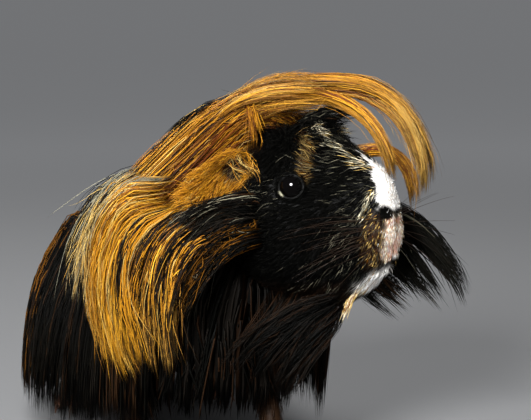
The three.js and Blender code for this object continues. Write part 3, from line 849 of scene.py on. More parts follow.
    def mouth(self, q: Array) -> Array:
        """The cleft from the nose down to the mouth, the mouth's line and the swell of the lips."""
        u, v, w = q.T
        cleft = self.cleft_depth * np.exp(-((v / 0.75) ** 2)) * smooth(w, -29, -26)
        cleft = cleft * smooth(w, -10.5, -13) * smooth(u, 25, 30)
        level = -28.2 - 0.06 * v * v + 0.12 * (u - 30)
        line = self.mouth_depth * np.exp(-(((w - level) / 0.8) ** 2))
        line = line * smooth(u, 20, 25) * smooth(np.abs(v), 10.5, 7)
        upper = self.upper_lip * np.exp(-(((w - level - 2.6) / 1.6) ** 2)) * smooth(u, 22, 28)
        lower = self.lower_lip * np.exp(-(((w - level + 2.4) / 1.5) ** 2)) * smooth(u, 22, 28)
        outward_way = unit(np.stack([np.full_like(u, 1.0), v / 9, np.zeros_like(u)], -1))
        return q + outward_way * (upper + lower - cleft - line)[:, None]

    @staticmethod
    def coloured(points: Array) -> Array:
        """The skin's colours: the coat's markings, darkened away from the lips as painted shade under the
        hair, with bare ears, lids, lips and soles.
        """
        q = to_head(points)
        layers = []
        for side in (-1, 1):
            away = np.linalg.norm(q - np.array(eye_place(side)), axis=1)
            low_rim = blob(q, (EYE["ahead"] - 3.4, side * 21.0, EYE["up"] - 3.2), (1.5, 3.0, 2.0), 0.3)
            layers += [(BLACK * 0.5, smooth(away, 7.8, 6.8)), (ASH * 0.8, low_rim * smooth(away, 6.3, 5.9))]
        # the ears' own colour is kept out of the hollow, where the black painted shade stays
        ears = ear_share(q) * (1 - 0.8 * ear_hole(q))
        layers += [
            (PINK * 0.9, blob(right_side(q), (32.2, -2.4, -22.8), (3.2, 3.0, 4.4), 0.3)),
            (mixed(RUSSET * 0.6, BRONZE * 0.8, smooth(on_ear(q)[0], 0.3, 0.9)), ears * 0.85),
            (LEATHER * 0.8, smooth(points[:, 2], 12, 6)),
        ]
        # away from the lips the markings are darkened as painted shade under the hair
        return painted(markings(points) * (0.62 + 0.38 * lip_share(q))[:, None], layers)


class SkinSurface:
    """The finished skin as something that hairs grow from and lie on."""

    def __init__(self, shell: Shell) -> None:
        """Reads the triangles of a skin."""
        self.points, self.faces = shell.points, shell.faces
        a, b, c = (self.points[self.faces[:, k]] for k in range(3))
        cross = np.cross(b - a, c - a)
        self.areas = np.linalg.norm(cross, axis=1) / 2
        self.centres = (a + b + c) / 3
        self.normals = unit(cross)
        self.tree = BVHTree.FromPolygons(self.points.tolist(), self.faces.tolist())

    def scatter(self, count: int, density: Callable[[Array, Array], Array],
                rng: np.random.Generator) -> tuple[Array, Array]:
        """Roots spread over the skin.

        Args:
            count: how many.
            density: the share of full cover at places, given the places and their normals.
            rng: the source of chance.
        Returns:
            The roots and the skin's normals there.
        """
        weight = self.areas * np.clip(density(self.centres, self.normals), 0, None)
        chosen = rng.choice(len(weight), size=count, p=weight / weight.sum())
        s, t = np.sqrt(rng.random(count))[:, None], rng.random(count)[:, None]
        a, b, c = (self.points[self.faces[chosen, k]] for k in range(3))
        return a * (1 - s) + b * s * (1 - t) + c * s * t, self.normals[chosen]

    def nearest(self, points: Array) -> tuple[Array, Array]:
        """The nearest places of the skin and their normals."""
        found = [self.tree.find_nearest(p) for p in points.reshape(-1, 3).tolist()]
        at = np.array([hit[0][:] for hit in found]).reshape(points.shape)
        normals = np.array([hit[1][:] for hit in found]).reshape(points.shape)
        return at, normals

    def cleared(self, points: Array, clearance: Array) -> Array:
        """Points moved out of the skin until they clear it."""
        at, normals = self.nearest(points)
        height = np.einsum("...k,...k->...", points - at, normals)
        short = np.clip(clearance - height, 0, 4)
        return points + normals * short[..., None]


# ---- hairs ----------------------------------------------------------------------------------------
# the size of a hair's patch on the unwrap
PATCH = 0.003


@dataclass
class Hairs:
    """Many hairs with the same number of rings: their middle lines, widths, colours and roots."""

    lines: Array
    widths: Array
    colours: Array
    faces_out: Array
    flat: float = 0.6

    def shell(self) -> Shell:
        """The hairs as closed three-sided spikes, each with a patch of the unwrap at its root's place."""
        count, rings = self.lines.shape[:2]
        ahead = unit(np.gradient(self.lines, axis=1))
        side = unit(np.cross(self.faces_out[:, None], ahead))
        face = np.cross(ahead, side)
        half = self.widths[..., None] / 2
        edge, ridge = face * half * 0.3 * self.flat, face * half * 1.2 * self.flat
        corners = [self.lines - side * half + edge, self.lines - ridge, self.lines + side * half + edge]
        body = np.stack(corners, 2)[:, :-1].reshape(count, -1, 3)
        points = np.concatenate([body, self.lines[:, -1:]], 1)
        k, last = np.arange(3), 3 * (rings - 2)
        quads = ring_quads(rings - 1, 3)
        tip = columns(last + k, last + (k + 1) % 3, last + 3)
        faces = np.concatenate([quads[:, [0, 1, 2]], quads[:, [0, 2, 3]], tip, [[0, 2, 1]]])
        starts = (np.arange(count) * points.shape[1])[:, None, None]
        owner = np.append(np.repeat(np.arange(rings - 1), 3), rings - 1)
        across = np.append(np.tile([-0.5, 0, 0.5], rings - 1), 0) * PATCH
        along = (owner / (rings - 1) - 0.5) * PATCH
        uvs = unwrap(self.lines[:, 0])[:, None] + columns(across, along)
        return Shell(points.reshape(-1, 3), (faces[None] + starts).reshape(-1, 3),
                     self.colours[:, owner].reshape(-1, 3), uvs.reshape(-1, 2))


def tapered(width: Array, rings: int) -> Array:
    """Hair widths from root to tip: thin at the root, then full, then narrowing to a point."""
    t = np.linspace(0, 1, rings)
    shape = np.sqrt(np.clip(1 - t ** 2.4, 0, 1)) * (0.35 + 0.65 * smooth(t, 0, 0.2))
    return np.asarray(width)[:, None] * shape[None]


@dataclass(frozen=True)
class DyeAndShade:
    """How the hairs of a piece are coloured.

    base holds colours and how common each is; bands hold a place across the piece, how wide it is, a colour
    and how surely a hair there takes it. Tips are drawn towards tip, and roots are darkened as painted shade
    deep in the coat.
    """

    base: Sequence[tuple[Array, float]]
    tip: Array
    bleach: float = 0.35
    # how light a hair stays at its root; the darkening there is painted shade deep in the coat
    root: float = 0.4
    bands: Sequence[tuple[float, float, Array, float]] = ()
    spread: float = 0.2

    def shaded(self, share: float) -> "DyeAndShade":
        """The same colours, darkened as painted shade."""
        base = [(colour * share, amount) for colour, amount in self.base]
        bands = [(place, wide, colour * share, chance) for place, wide, colour, chance in self.bands]
        return DyeAndShade(base, self.tip * share, 0.0, self.root, bands, self.spread)

    def colours(self, across: Array, clump: Array, rings: int, rng: np.random.Generator) -> Array:
        """The colours along each hair.

        Args:
            across: each hair's place across the piece, from 0 to 1.
            clump: the number of each hair's clump.
            rings: how many rings a hair has.
            rng: the source of chance.
        Returns:
            A colour for each ring of each hair.
        """
        shades = np.array([colour for colour, _ in self.base])
        share = np.cumsum([amount for _, amount in self.base])
        per_clump = rng.random(int(clump.max()) + 1)[clump]
        draw = np.where(rng.random(len(across)) < 0.45, per_clump, rng.random(len(across)))
        main = shades[np.searchsorted(share / share[-1], draw)]
        for place, wide, colour, chance in self.bands:
            near = np.exp(-(((across - place) / wide) ** 2)) * chance
            main = np.where((rng.random(len(across)) < near)[:, None], colour, main)
        # each clump, and each hair a little, is made lighter or darker: partly a real spread of tone, partly
        # painted shade between the clumps
        shade = rng.normal(size=int(clump.max()) + 1)[clump]
        bright = np.exp(self.spread * (0.7 * rng.normal(size=len(across)) + 0.8 * shade))
        main = main * bright[:, None]
        t = np.linspace(0, 1, rings)
        paled = np.clip(self.bleach * (0.6 + 0.8 * rng.random(len(across))), 0, 1)
        luminous = np.clip(main.sum(1) / GOLD.sum(), 0.06, 1)
        weight = (paled * luminous)[:, None] * smooth(t, 0.35, 1.0)[None]
        along = main[:, None] * (1 - weight[..., None]) + self.tip * weight[..., None]
        # roots darkened: painted shade deep in the coat
        return np.clip(along * (self.root + (1 - self.root) * smooth(t, 0, 0.35))[None, :, None], 0, 1)


GOLDEN = DyeAndShade(
    base=[(GOLD, 6), (AMBER, 2), (BRONZE, 3), (FLAX, 0.5), (RUSSET, 0.9), (UMBER, 0.2)],
    tip=FLAX, bleach=0.3, root=0.6,
)
RAVEN = DyeAndShade(base=[(BLACK, 9), (SOOT, 2), (UMBER, 0.5), (ASH * 0.4, 0.3)], tip=ASH * 0.8, bleach=0.2, root=0.7)


@dataclass(frozen=True)
class Clumps:
    """How hairs gather towards their tips, wander together, wave and stray."""

    count: int = 30
    pull: float = 0.6
    wander: float = 0.03
    uneven: float = 0.06
    cross: float = 0.02
    wave: float = 0.5
    stray: float = 0.03
    fray: float = 4.0

    def reach(self, span: tuple, t: Array, clump: Array, rng: np.random.Generator) -> tuple[Array, Array]:
        """Where the hairs' rings lie along the piece, and how far their clump pulls them in there.

        Args:
            span: the ranges of the shares of the piece at which hairs start and end.
            t: shares of a hair's length.
            clump: the number of each hair's clump.
            rng: the source of chance.
        Returns:
            The shares of the piece and the shares of the way to the clump's middle.
        """
        begin, finish = (rng.uniform(*ends, len(clump))[:, None] for ends in span)
        finish = finish - np.abs(self.uneven * rng.normal(size=self.count))[clump][:, None]
        pull = self.pull * rng.uniform(0.5, 1.1, len(clump))[:, None] * smooth(t, 0.1, 1.0)
        return begin + (finish - begin) * t, pull

    def path(self, t: Array, clump: Array, rng: np.random.Generator) -> Array:
        """How far each hair's clump wanders aside along the hairs.

        Args:
            t: shares of the length.
            clump: the number of each hair's clump.
            rng: the source of chance.
        Returns:
            A shift for each ring of each hair, as a share of the piece.
        """
        turns = rng.uniform(1.5, 4.5, self.count)[clump][:, None]
        phase = rng.uniform(0, 2 * math.pi, self.count)[clump][:, None]
        return self.wander * rng.uniform(0.3, 1.5, self.count)[clump][:, None] * np.sin(t * turns + phase) * t

    def ripple(self, t: Array, count: int, rng: np.random.Generator) -> Array:
        """Each hair's own small wave, which grows towards its tip, in mm."""
        turns, phase = rng.uniform(3, 9, (count, 1)), rng.uniform(0, 2 * math.pi, (count, 1))
        return self.wave * rng.uniform(0.4, 1.4, (count, 1)) * np.sin(t * turns + phase) * t

    def strayed(self, lines: Array, t: Array, rng: np.random.Generator) -> Array:
        """The hairs with a few of them bent away from the rest."""
        count = len(lines)
        loose = (rng.random(count) < self.stray)[:, None, None]
        away = rng.normal(size=(count, 1, 3)) * self.fray * rng.uniform(0.3, 1, (count, 1, 1))
        return lines + np.where(loose, away * (t ** 1.7)[..., None], 0)


# how many places a sheet of hair is worked out at, across and along
GRID_ACROSS, GRID_ALONG = 40, 48
UNDER = Clumps(pull=0.2, wander=0.01, uneven=0.02, wave=0.3, stray=0)
# the width of fine hair, how deep roots go, and how far hairs keep from the skin and from the floor
FINE, ROOT_DEPTH, SKIN_GAP, FLOOR_GAP = (0.2, 0.34), 0.3, 0.5, 0.6


@dataclass(frozen=True)
class LongHair:
    """A piece of long hair along guide lines.

    start and end are ranges of the share of the guides at which its hairs start and end, rooted is the share
    of a hair that bends in to the skin, and replaces names the solids that the piece stands for.
    """

    name: str
    slot: Slot
    guides: Sequence
    dye_and_shade: DyeAndShade
    count: int
    rings: int
    seed: int
    replaces: tuple[str, ...] = ()
    width: tuple[float, float] = FINE
    start: tuple[float, float] = (0.0, 0.5)
    end: tuple[float, float] = (0.5, 1.0)
    clumps: Clumps = Clumps()
    rooted: float = 0.3
    flat: float = 0.6

    def dressed(self, lines: Array, out: Array, across: Array, clump: Array,
                rng: np.random.Generator) -> Hairs:
        """The hairs of middle lines, with their widths and colours.

        Args:
            lines: the middle lines.
            out: the way that each hair faces.
            across: each hair's place across the piece, from 0 to 1.
            clump: the number of each hair's clump.
            rng: the source of chance.
        Returns:
            The hairs.
        """
        widths = tapered(rng.uniform(*self.width, len(lines)), self.rings)
        return Hairs(lines, widths, self.dye_and_shade.colours(across, clump, self.rings, rng), unit(out), self.flat)


@dataclass(frozen=True)
class HairSheet(LongHair):
    """A hanging sheet of long hair between guide lines that run from its roots to its tips.

    layer is the sheet's thickness, and core a place that its outside faces away from.
    """

    layer: float = 6.0
    core: Point = (-10, 15, 60)

    def grid(self) -> tuple[Array, Array]:
        """The sheet as a fine grid of places, across and along, and the outward directions there."""
        along = np.linspace(0, 1, GRID_ALONG)
        lines = np.stack([Curve(guide).at(along) for guide in self.guides])
        fine = [Curve(lines[:, j]).at(self.even(lines[:, j])) for j in range(len(along))]
        grid = np.stack(fine, 1)
        normal = unit(np.cross(np.gradient(grid, axis=0), np.gradient(grid, axis=1)))
        if np.einsum("ijk,ijk->", normal, grid - np.array(self.core)) < 0:
            normal = -normal
        return grid, normal

    @staticmethod
    def even(line: Array) -> Array:
        """Shares of a cross line that keep each guide at its own even place."""
        steps = np.maximum(np.linalg.norm(np.diff(line, axis=0), axis=1), 1e-6)
        reach = np.concatenate([[0], np.cumsum(steps)])
        return np.interp(np.linspace(0, 1, GRID_ACROSS), np.linspace(0, 1, len(line)), reach / reach[-1])

    @staticmethod
    def sampled(grid: Array, across: Array, along: Array) -> Array:
        """Values of a grid at places between its points."""
        i = np.clip(across, 0, 1) * (grid.shape[0] - 1)
        j = np.clip(along, 0, 1) * (grid.shape[1] - 1)
        i0, j0 = np.minimum(i.astype(int), grid.shape[0] - 2), np.minimum(j.astype(int), grid.shape[1] - 2)
        fi, fj = (i - i0)[..., None], (j - j0)[..., None]
        low = grid[i0, j0] * (1 - fj) + grid[i0, j0 + 1] * fj
        high = grid[i0 + 1, j0] * (1 - fj) + grid[i0 + 1, j0 + 1] * fj
        return low * (1 - fi) + high * fi

    def hairs(self, skin: SkinSurface) -> Hairs:
        """The sheet's hairs, which leave the skin and settle into their layer.

        Args:
            skin: the surface that the hairs grow from.
        Returns:
            The hairs.
        """
        rng = np.random.default_rng(self.seed)
        n, t = self.count, np.linspace(0, 1, self.rings)[None]
        grid, normal = self.grid()
        across, centres = rng.uniform(0, 1, n), rng.uniform(0, 1, self.clumps.count)
        clump = np.abs(across[:, None] - centres[None]).argmin(1)
        h, pull = self.clumps.reach((self.start, self.end), t, clump, rng)
        place = across[:, None] + (centres[clump] - across)[:, None] * pull + self.clumps.path(t, clump, rng)
        place = place + self.clumps.cross * rng.normal(size=(n, 1)) * (t - 0.4)
        own = rng.uniform(-0.5, 0.5, n)[:, None]
        shared = rng.uniform(-0.5, 0.6, self.clumps.count)[clump][:, None]
        depth = (own + (shared - own) * pull) * self.layer
        sunk = self.layer * (1 - smooth(t, 0, 0.25))
        lines, out = self.sampled(grid, place, h), self.sampled(normal, place, h)
        lines = lines + out * (depth - sunk + self.clumps.ripple(t, n, rng))[..., None]
        lines = self.grown(self.clumps.strayed(lines, t, rng), skin, t)
        return self.dressed(lines, out.mean(1), across, clump, rng)

    def under(self, count: int, shade: float, seed: int, **changes: Any) -> "HairSheet":
        """A coarse layer beneath the sheet, in its colours darkened as painted shade, which hides what lies
        behind it.

        Args:
            count: how many hairs.
            shade: how dark, as a share of the sheet's own colours.
            seed: the seed of chance.
            changes: fields that differ from the usual ones of such a layer.
        Returns:
            The layer.
        """
        usual = {"rings": 6, "replaces": (), "width": (2.4, 3.6), "layer": 1.5, "start": (0, 0.3)}
        own = {"name": self.name.replace("_hair", "_under_hair"), "dye_and_shade": self.dye_and_shade.shaded(shade), "flat": 0.2}
        return replace(self, count=count, seed=seed, clumps=UNDER, **{**own, **usual, **changes})

    def grown(self, lines: Array, skin: SkinSurface, t: Array) -> Array:
        """The lines with the roots that are near the skin moved into it, and the rest kept out of it."""
        root, normal = skin.nearest(lines[:, 0])
        far = np.linalg.norm(root - lines[:, 0], axis=1)
        fade = (1 - smooth(t, 0, self.rooted)) * smooth(far, 16, 7)[:, None]
        held = lines + (root - normal * ROOT_DEPTH - lines[:, 0])[:, None] * fade[..., None]
        held[:, 1:] = skin.cleared(held[:, 1:], np.full(held[:, 1:].shape[:2], SKIN_GAP))
        held[..., 2] = np.maximum(held[..., 2], FLOOR_GAP)
        return held


@dataclass(frozen=True)
class HairLock(LongHair):
    """A lock of long hair along its own middle line, given in the head's frame.

    girth holds rows of a share of the length, the half width across the head and the half thickness.
    """

    girth: Sequence[tuple[float, float, float]] = ()
    rooted: float = 0.0

    def hairs(self, skin: SkinSurface) -> Hairs:
        """The lock's hairs.

        Args:
            skin: the surface that the hairs grow from.
        Returns:
            The hairs.
        """
        rng = np.random.default_rng(self.seed)
        n, t = self.count, np.linspace(0, 1, self.rings)[None]
        curve = Curve(self.guides)
        angle, radius = rng.uniform(0, 2 * math.pi, n), np.sqrt(rng.uniform(0.1, 1, n))
        disc = np.stack([np.cos(angle) * radius, np.sin(angle) * radius], -1)
        spots = rng.uniform(0, 2 * math.pi, self.clumps.count)
        ways = np.stack([np.cos(spots), np.sin(spots)], -1)
        centres = ways * np.sqrt(rng.uniform(0.1, 0.9, self.clumps.count))[:, None]
        clump = np.linalg.norm(disc[:, None] - centres[None], axis=-1).argmin(1)
        h, pull = self.clumps.reach((self.start, self.end), t, clump, rng)
        spot = disc[:, None] + (centres[clump] - disc)[:, None] * pull[..., None]
        spot = spot * (0.35 + 0.65 * smooth(t, 0, 0.25))[..., None]
        spot = spot + 4 * np.stack([self.clumps.path(t, clump, rng) for _ in range(2)], -1)
        spot = spot + 4 * self.clumps.cross * rng.normal(size=(n, 1, 2)) * (t - 0.4)[..., None]
        wide, thick = np.moveaxis(read(self.girth, h), -1, 0)
        heading = curve.heading(h)
        left = np.array([0.0, 1.0, 0.0])
        left = unit(left - heading * (heading @ left)[..., None])
        top = np.cross(heading, left)
        lines = curve.at(h) + left * (spot[..., 0] * wide + self.clumps.ripple(t, n, rng))[..., None]
        lines = lines + top * (spot[..., 1] * thick + self.clumps.ripple(t, n, rng))[..., None]
        lines = from_head(self.clumps.strayed(lines, t, rng))
        if self.rooted:
            root, normal = skin.nearest(lines[:, 0])
            fade = (1 - smooth(t, 0, self.rooted))[..., None]
            lines = lines + (root - normal * ROOT_DEPTH - lines[:, 0])[:, None] * fade
        out = way_from_head((left * disc[:, None, :1] + top * disc[:, None, 1:]).mean(1))
        return self.dressed(lines, out, (disc[:, 0] + 1) / 2, clump, rng)


@dataclass(frozen=True)
class ShortFur:
    """Short hairs that grow from the skin and lie along it.

    lie gives the hairs' direction at roots in the animal's frame, and size their length, lift and width,
    which may also be the same everywhere. fleck says how many of the dark hairs are pale, mingle how many of
    the golden ones vary, and hug whether the hairs follow the skin where it bends.
    """

    name: str
    slot: Slot
    count: int
    density: Callable[[Array, Array], Array]
    lie: Callable[[Array], Array]
    size: Union[Callable[[Array], Array], Point]
    seed: int
    rings: int = 4
    fleck: float = 0.06
    mingle: float = 0.6
    pale: Array = field(default_factory=lambda: ASH)
    hug: bool = False
    replaces: tuple[str, ...] = ()

    def hairs(self, skin: SkinSurface) -> Hairs:
        """The hairs, coloured by the markings at their roots.

        Args:
            skin: the surface that the hairs grow from.
        Returns:
            The hairs.
        """
        rng = np.random.default_rng(self.seed)
        roots, normals = skin.scatter(self.count, self.density, rng)
        n, t = self.count, np.linspace(0, 1, self.rings)[None]
        size = self.size(roots) if callable(self.size) else self.size
        length, lift, width = np.broadcast_to(size, (n, 3)).T
        length = length * rng.uniform(0.7, 1.25, n)
        way = self.lie(roots) + 0.24 * rng.normal(size=(n, 3))
        way = way + 0.25 * np.stack([wobble(roots, 9, self.seed + k) for k in range(3)], -1)
        way = unit(way - normals * np.einsum("nk,nk->n", way, normals)[:, None])
        rise = (lift * rng.uniform(0.7, 1.3, n))[:, None]
        height = rise * (t - 0.55 * t * t) * 1.6
        lines = roots[:, None] - normals[:, None] * 0.25
        spread = np.sqrt(np.clip(1 - rise * rise * 0.6, 0.1, 1))
        lines = lines + way[:, None] * (length[:, None] * t * spread)[..., None]
        lines = lines + normals[:, None] * (length[:, None] * height)[..., None]
        if self.hug:
            lines[:, 1:] = skin.cleared(lines[:, 1:], (0.3 + lift * length * 0.3)[:, None] * (0.3 + t[:, 1:]))
        lines[..., 2] = np.maximum(lines[..., 2], 0.4)
        middle = roots + way * (0.4 * length)[:, None]
        main = markings(middle) * np.exp(0.3 * rng.normal(size=n))[:, None]
        dark = smooth(main.sum(1), 0.35, 0.1)
        seat = to_head(middle)
        near = np.linalg.norm(seat, axis=1) < 62
        golden = smooth(main[:, 0] - main[:, 2], 0.08, 0.2)
        varied = rng.random(n) < self.mingle * golden
        main = np.where(varied[:, None], drawn(GOLDEN.base, n, rng), main)
        for share, mix in PATCHES:
            taken = near & (rng.random(n) < share(seat))
            bright = np.exp(0.2 * rng.normal(size=n))[:, None]
            main = np.where(taken[:, None], drawn(mix, n, rng) * bright, main)
        flecked = rng.random(n) < self.fleck * dark * fleck_share(to_head(roots))
        stem = roots[:, None]
        lines = np.where(flecked[:, None, None], stem + (lines - stem) * 1.1, lines)
        width = np.where(flecked, 0.55, 1.0) * width
        main = np.where(flecked[:, None], self.pale * rng.uniform(0.12, 0.9, n)[:, None] ** 1.5, main)
        # each hair darkens towards its root as painted shade, and pale hairs are brightened as painted light
        pale = 0.7 + 0.2 * smooth(main.sum(1), 1.0, 2.0)[:, None]
        along = main[:, None] * (pale + 0.4 * t)[..., None]
        widths = tapered(width * rng.uniform(0.8, 1.2, n), self.rings)
        return Hairs(lines, widths, np.clip(along, 0, 1), normals)


Hair = Union[HairSheet, HairLock, ShortFur]


# ---- the coat -------------------------------------------------------------------------------------
def arched(rear: Sequence[Point], front: Sequence[Point], bulge: float, count: int) -> list[list[Point]]:
    """Guide lines between the rear and front edges of a fall of hair that bulges away from the neck.

    Args:
        rear: the rear edge, from root to tip.
        front: the front edge.
        bulge: the bulge as a share of the width, positive on the right and negative on the left.
        count: how many guide lines.
    Returns:
        The guide lines.
    """
    shares = np.linspace(0, 1, 6)
    back, fore = Curve(rear).at(shares), Curve(front).at(shares)
    guides = []
    for along in np.linspace(0, 1, count):
        across = fore - back
        out = unit(np.cross(across, [0, 0, 1]))
        rise = bulge * np.linalg.norm(across, axis=1) * math.sin(math.pi * along)
        guides.append((back + across * along + out * rise[:, None]).tolist())
    return guides


# height of a level of the bib, where its middle is ahead and aside, and its radius
BIB_ROWS = [(14, -20, 7, 38), (30, -20, 7, 40), (47, -20, 7, 42), (62, -19, 8, 43), (74, -15, 11, 41)]


def bib_guides(count: int) -> list[list[Point]]:
    """Guide lines of the hair that hangs from the throat down the chest."""
    guides = []
    for heading in np.radians(np.linspace(-74, 84, count)):
        way = np.array([math.cos(heading), math.sin(heading)])
        line = [(*(np.array([-12, 14]) + way * 34), 84.0)]
        for z, x, y, radius in reversed(BIB_ROWS):
            line.append((*(np.array([x, y]) + way * (radius - 2)), float(z)))
        guides.append(line)
    return guides


HEM = [
    (-10, -26, 0), (-38, -36, 0), (-72, -40, 0), (-110, -35, 0), (-138, -17, 0), (-147, 10, 0),
    (-137, 36, 0), (-108, 47, 0), (-72, 44, 0), (-42, 41, 0), (-20, 43, 0),
]
# share of the height of the hanging coat, and how far its outside stands out from the hem line
SKIRT_OUT = [(0, 9), (0.2, 8.5), (0.47, 6.5), (0.73, 2), (1, -8)]
# share of the hem line, and the height of the hanging coat's upper edge
SKIRT_TOPS = [(0, 70), (0.3, 78), (0.5, 65), (0.7, 78), (1, 76)]
PARTING = (-112.0, -14.0)


def drape_guides(begin: float, end: float, count: int) -> list[list[Point]]:
    """Guide lines of the body's long coat, from the parting along the back to the hem.

    Args:
        begin: where on the hem line the stretch starts, as a share of its length.
        end: where it ends.
        count: how many guide lines.
    Returns:
        The guide lines.
    """
    hem, spine = Curve(HEM), Curve(SPINE)
    shares = np.linspace(0, 1, 200)
    back = spine.at(shares)
    above = read(TRUNK_ROWS, shares * SPINE_END)[:, 1]
    guides = []
    for s in np.linspace(begin, end, count):
        foot, heading = hem.at(s), hem.heading(s)
        out = np.cross(heading, [0, 0, 1]) * -1
        out = -out if out @ (foot - np.array([-75, 4, 0])) < 0 else out
        x = float(np.clip(foot[0] * 0.94 + 7, *PARTING))
        ridge = np.interp(x, back[:, 0], back[:, 2] + above)
        top = np.array([x, np.interp(x, back[:, 0], back[:, 1]), ridge + 0.5])
        high = float(read(SKIRT_TOPS, s)[0])
        edge = foot + out * float(read(SKIRT_OUT, 1.0)[0])
        line = []
        for turn in np.radians([0, 30, 60]):
            flat = top[:2] + (edge[:2] - top[:2]) * math.sin(turn)
            line.append((*flat, high + (top[2] - high) * math.cos(turn)))
        for share in (1.0, 0.7, 0.35, 0.0):
            at = foot + out * float(read(SKIRT_OUT, share)[0])
            line.append((at[0], at[1], 5 + (high - 5) * share))
        guides.append(line)
    return guides


# from the crown, behind the ear, down the side of the neck
MANE_CROWN = [
    [(26, 44, 145), (20, 36, 145), (14, 24, 143), (8, 9, 139), (3, -8, 127), (-1, -23, 112), (-3, -32, 97),
     (-4, -37, 79), (-4, -38, 58)],
    [(28, 40, 144), (24, 32, 144), (19, 20, 142), (12, 5, 133), (7, -11, 118), (4, -25, 103), (3, -34, 87),
     (2, -38, 70), (6, -33, 42)],
    [(30, 34, 142), (27, 26, 141), (22, 18, 137), (10, 7, 125), (6, -7, 110), (8, -21, 97), (10, -32, 83),
     (10, -34, 65), (12, -27, 38)],
    [(28, 28, 138), (25, 23, 135), (19, 18, 130), (10, 14, 120), (5, 3, 108), (8, -11, 98), (14, -25, 85),
     (15, -29, 68), (15, -22, 36)],
]
# black hair along the rear edge of the crest
CREST_EDGE = [
    [(12, 11, 142), (10, 6, 140), (8, 1, 136), (6, -4, 133), (4, -8, 128), (2, -12, 122), (1, -14, 116)],
    [(14, 10, 141), (12, 6, 138), (10, 1, 135), (8, -3, 131), (7, -7, 126), (5, -11, 120), (4, -13, 114)],
]
# the fan that opens below the ear and swirls down
MANE_FAN = [
    [(14, -3, 116), (13, -15, 115), (11, -26, 110), (9, -34, 102), (6, -39, 88), (3, -41, 72), (2, -42, 57)],
    [(14, -5, 111), (16, -18, 109), (15, -28, 105), (13, -35, 93), (11, -38, 78), (10, -36, 59),
     (11, -28, 33)],
    [(15, -6, 104), (19, -17, 103), (19, -26, 97), (18, -31, 84), (17, -32, 68), (15, -29, 51),
     (15, -24, 35)],
    [(19, -5, 100), (23, -15, 97), (24, -22, 88), (23, -26, 74), (19, -24, 57), (18, -20, 38)],
]
# the ash-blond strands along the fan's rear edge
MANE_PALE = [
    [(6, -19, 118), (6, -27, 114), (5, -35, 107), (5, -41, 96), (5, -44, 83), (4, -45, 72), (3, -46, 62)],
    [(9, -18, 114), (10, -26, 110), (10, -34, 102), (10, -39, 91), (10, -41, 80), (10, -40, 69),
     (11, -38, 57)],
]
# from under the cheek
MANE_FRONT = [
    [(27, 12, 102), (28, 1, 101), (28, -10, 98), (27, -19, 92), (25, -23, 80), (21, -24, 63), (20, -21, 45),
     (18, -18, 34)],
    [(30, 13, 99), (32, 2, 97), (31, -9, 94), (29, -17, 86), (27, -19, 73), (23, -18, 55), (22, -15, 38)],
    [(33, 14, 94), (36, 3, 92), (34, -6, 87), (32, -11, 78), (29, -13, 65), (26, -12, 52), (24, -9, 40)],
]
# the black hair of the cheek, which sweeps back over the mane
CHEEK_SWEEP = [
    [(33, 23, 111), (28, 13, 108), (25, 4, 105), (25, -5, 102), (26, -14, 99), (27, -22, 91)],
    [(36, 24, 105), (31, 13, 103), (28, 3, 101), (29, -8, 97), (29, -18, 90), (28, -25, 78)],
    [(38, 24, 99), (35, 12, 97), (34, 1, 93), (34, -9, 85), (32, -14, 73), (28, -16, 57)],
    [(40, 25, 92), (39, 13, 89), (38, 3, 84), (37, -5, 75), (34, -10, 64), (30, -10, 49)],
]
MANE_LEFT = (
    [(-32, 18, 112), (-38, 34, 96), (-37, 43, 78), (-34, 45, 58), (-31, 44, 34)],
    [(-8, 47, 108), (-1, 53, 94), (4, 52, 76), (5, 47, 56), (3, 43, 34)],
)
NAPE = [
    [(18, 32, 141), (10, 20, 136), (-2, 10, 126), (-16, 4, 113), (-33, 0, 104)],
    [(14, 38, 140), (4, 30, 134), (-8, 23, 123), (-23, 16, 110), (-38, 12, 102)],
    [(10, 44, 136), (-2, 41, 128), (-14, 36, 116), (-27, 30, 103), (-40, 26, 94)],
]
THROAT_FALL = [
    [(43, 49, 76), (40, 36, 71), (37, 22, 65), (32, 8, 55), (28, -1, 40)],
    [(40, 50, 69), (38, 38, 61), (35, 26, 50), (30, 16, 34)],
    [(36, 54, 64), (34, 45, 53), (31, 36, 41), (27, 30, 26)],
]
CHIN_STRIPE = [
    [(43, 53, 76), (41, 50, 70), (38.5, 47.4, 63), (37, 45.8, 57)],
    [(44, 55, 75.5), (42, 52, 69.5), (39, 49.2, 62.5), (37.4, 47.4, 56.5)],
]
EAR_TUFT = [
    [(14, 14, 143), (18, 16, 140), (22, 16, 136), (25, 16, 130), (25, 16, 125), (25, 15, 120)],
    [(14, 16, 144), (19, 18, 141), (24, 19, 136), (26, 19, 131), (27, 20, 125), (26, 18, 119)],
]
# single hairs that cross the front of the ear
EAR_WISPS = [
    [(16, 5, 121), (19, 8, 118), (23, 11, 115), (26, 15, 113), (28, 18, 111)],
    [(21, 14, 127), (24, 17, 122), (27, 18, 117), (29, 19, 112), (29, 18, 107)],
]
# single hairs that stand off behind the fan
WISPS = [
    [(1, -13, 117), (-2, -25, 113), (-4, -36, 105), (-6, -43, 92), (-8, -46, 77), (-9, -47, 62)],
    [(4, -11, 113), (4, -21, 110), (3, -32, 101), (2, -40, 87), (1, -44, 71), (-1, -45, 57)],
]
